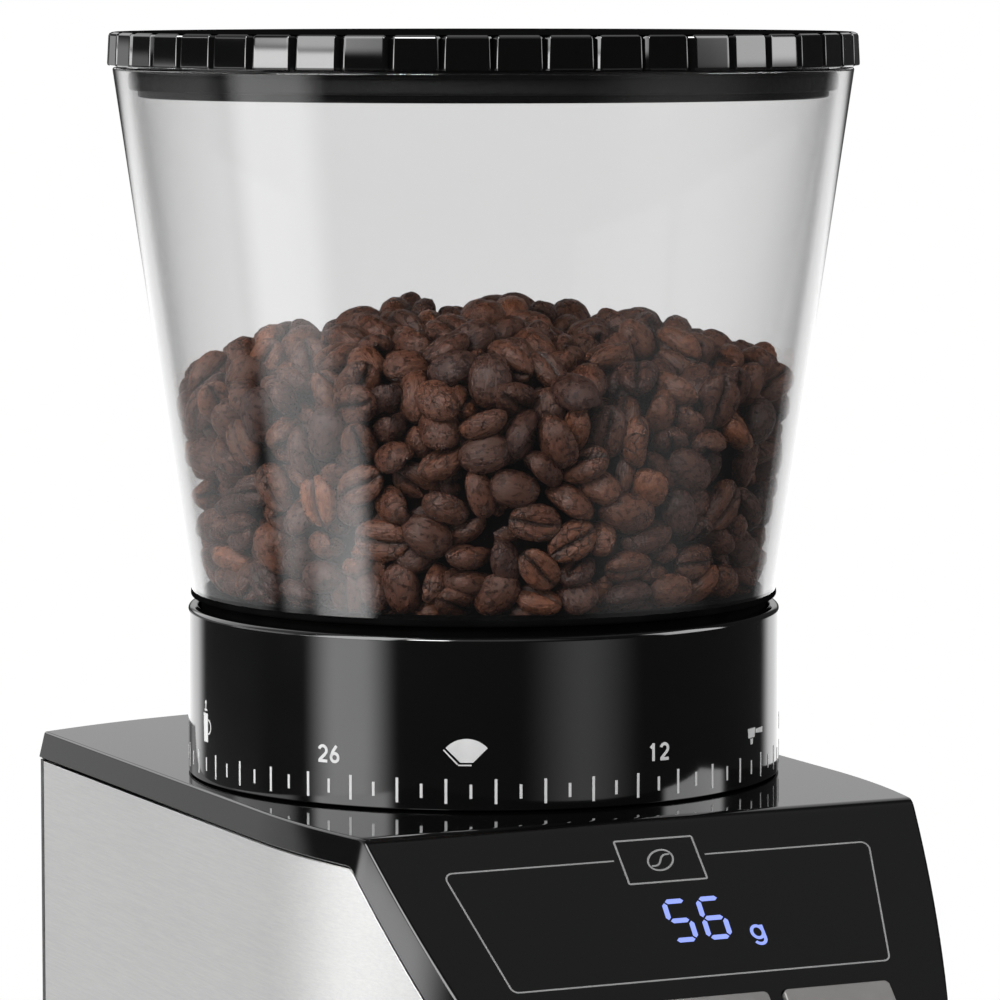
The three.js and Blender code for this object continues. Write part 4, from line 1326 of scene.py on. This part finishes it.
# ---- Camera, floor and light ---------------------------------------------------------------
CAMERA_TURN = math.radians(-25)  # about +Z, from looking along +Y
CAMERA_TILT = math.radians(5.55)  # below the horizon


def camera():
    data = bpy.data.cameras.new("camera")
    data.lens = 190.8
    data.sensor_width = 36
    data.dof.use_dof = False
    data.clip_start = 0.05
    data.clip_end = 50
    cam = add_object("camera", data)
    cam.location = (-0.4753, AXIS_Y - 1.0276, TOP_Z * MM + 0.1679)
    cam.rotation_euler = (math.pi / 2 - CAMERA_TILT, 0, CAMERA_TURN)
    bpy.context.scene.camera = cam


def window(nodes, value, low, high, soft):
    """1 between low and high, 0 outside them, with soft edges."""
    rise = nodes.step(value, low - soft, low + soft)
    return nodes.product(rise, nodes.step(value, high + soft, high - soft))


# Soft boxes as (azimuth low, high, edge), (elevation low, high, edge), strength. Azimuth is counted
# in degrees to the right of the camera, as seen from the machine.
STUDIO = [
    ((-74, -45, 1.5), (2, 5.5, 0.5), 14.0),
    ((-68, -36, 3), (6, 62, 1), 9.0),
    ((-66, -40, 8), (-12, -4, 1.2), 4.2),
    ((-84, -56, 6), (-19.4, -12, 1), 2.6),
    ((-70, -46, 4), (-50, -20, 1.5), 5.2),
    ((74, 106, 2), (2, 40, 1), 7.0),
    ((26, 52, 13), (-14, -4, 1.5), 0.9),
    ((45, 90, 15), (-50, -12, 4), 0.25),
    ((142, 190, 6), (-12, -4, 1.5), 1.7),
    ((-190, -142, 6), (-12, -4, 1.5), 1.7),
    ((142, 190, 6), (-60, -12, 2), 0.8),
    ((-190, -142, 6), (-60, -12, 2), 0.8),
    ((165, 190, 4), (4, 70, 2), 0.62),
    ((-190, -165, 4), (4, 70, 2), 0.62),
    ((-160, -112, 5), (8, 70, 4), 1.8),
    ((-160, -112, 4), (-3, 1.8, 0.5), 0.6),
    ((-112, -78, 4), (8, 12, 2), 4.6),
    ((-112, -78, 4), (12, 70, 4), 0.5),
    ((-112, -78, 4), (-3.4, 1.3, 0.4), 4.6),
    ((-165, -95, 6), (-70, -12, 6), 0.65),
    ((-133, -122, 3), (-60, -26, 3), 4.5),
    ((60, 140, 15), (52, 76, 6), 0.2),
    ((-30, 30, 20), (25, 55, 10), 0.8),
]
AMBIENT = 0.055
INSIDE_LIMIT = 0.4  # brightness of a soft box as mirrored inside the clear plastic
FLOOR_FADE = (0.25, 0.85)  # distances in metres between which the floor fades out


def world():
    """A white studio for the camera, and soft boxes round a dim room for everything else."""
    made = bpy.data.worlds.new("studio")
    made.use_nodes = True
    bpy.context.scene.world = made
    nodes = Nodes(made.node_tree)
    forward, azimuth, elevation = sky_directions(nodes)
    total = AMBIENT
    for across, upward, strength in STUDIO:
        box = nodes.product(window(nodes, azimuth, *across), window(nodes, elevation, *upward), strength)
        total = nodes.maths("ADD", box, total)
    path = nodes.add("LightPath", {}).outputs
    bounced = nodes.maths("ADD", path["Diffuse Depth"], path["Glossy Depth"])
    straight = nodes.maths("LESS_THAN", bounced, 0.5)
    behind = nodes.step(forward, -0.75, -0.85)
    backdrop = nodes.product(path["Is Transmission Ray"], straight, behind)
    backdrop = nodes.maths("MAXIMUM", path["Is Camera Ray"], backdrop)
    capped = nodes.maths("MINIMUM", total, INSIDE_LIMIT)
    undiffused = nodes.maths("LESS_THAN", path["Diffuse Depth"], 0.5)
    total = nodes.between(nodes.product(path["Is Transmission Ray"], undiffused), total, capped)
    background = made.node_tree.nodes["Background"]
    nodes.feed(background.inputs["Color"], (1, 1, 1))
    nodes.feed(background.inputs["Strength"], nodes.between(backdrop, total, 1.0))


def sky_directions(nodes):
    """How far a ray heads towards the camera's side, and its azimuth and elevation in degrees."""
    direction = nodes.add("TexCoord", {}).outputs["Generated"]
    front = (math.sin(CAMERA_TURN), -math.cos(CAMERA_TURN), 0)
    right = (math.cos(CAMERA_TURN), math.sin(CAMERA_TURN), 0)
    parts = []
    for axis in (front, right, (0, 0, 1)):
        dot = nodes.add("VectorMath", {0: direction, 1: axis}, operation="DOT_PRODUCT")
        parts.append(dot.outputs["Value"])
    azimuth = nodes.product(nodes.maths("ARCTAN2", parts[1], parts[0]), math.degrees(1))
    elevation = nodes.product(nodes.maths("ARCSINE", parts[2]), math.degrees(1))
    return parts[0], azimuth, elevation


def floor():
    """A pale round floor that fades out into the white of the studio."""
    disc = prism("floor", disc_outline(0, 0, 900, 96), -1.0, -0.05)
    disc.visible_glossy = False
    disc.visible_transmission = False
    mat, nodes = new_material("pale_floor")
    speckled = nodes.blend(nodes.noise(30), grey(0.86), grey(0.9))
    pale = nodes.feed_shader(Base_Color=speckled, Roughness=0.7)
    place = nodes.add("TexCoord", {}).outputs["Object"]
    away = nodes.add("VectorMath", {0: place}, operation="LENGTH").outputs["Value"]
    clear = nodes.add("BsdfTransparent", {}).outputs["BSDF"]
    nodes.switch_surface(nodes.step(away, *FLOOR_FADE), pale, clear)
    disc.data.materials.append(mat)


def lamp(name, place, size, power, aim, mirrored=False):
    data = bpy.data.lights.new(name, "AREA")
    data.energy = power
    data.size = size
    light = add_object(name, data)
    light.location = place
    light.rotation_euler = (Vector(aim) - Vector(place)).to_track_quat("-Z", "Y").to_euler()
    light.visible_glossy = mirrored
    light.visible_transmission = False


def lights():
    aim = (0, AXIS_Y, 0.28)
    lamp("key", (-1.1, -1.0, 1.2), 0.42, 21, aim, mirrored=True)
    lamp("fill", (0.9, -1.3, 0.7), 0.9, 9, aim)
    lamp("top", (0.1, 0.3, 1.6), 1.0, 14, aim)
    lamp("back", (0.4, 1.5, 0.9), 1.0, 10, aim)


top_cover()
side_panels()
rear_cover()
head_housing()
base()
container()
keys()
grind_ring()
hopper()
lid()
ring_print()
panel_print()
bean_pieces()
dress_carried_nodes()
camera()
world()
floor()
lights()
bpy.context.scene.view_settings.view_transform = "Standard"
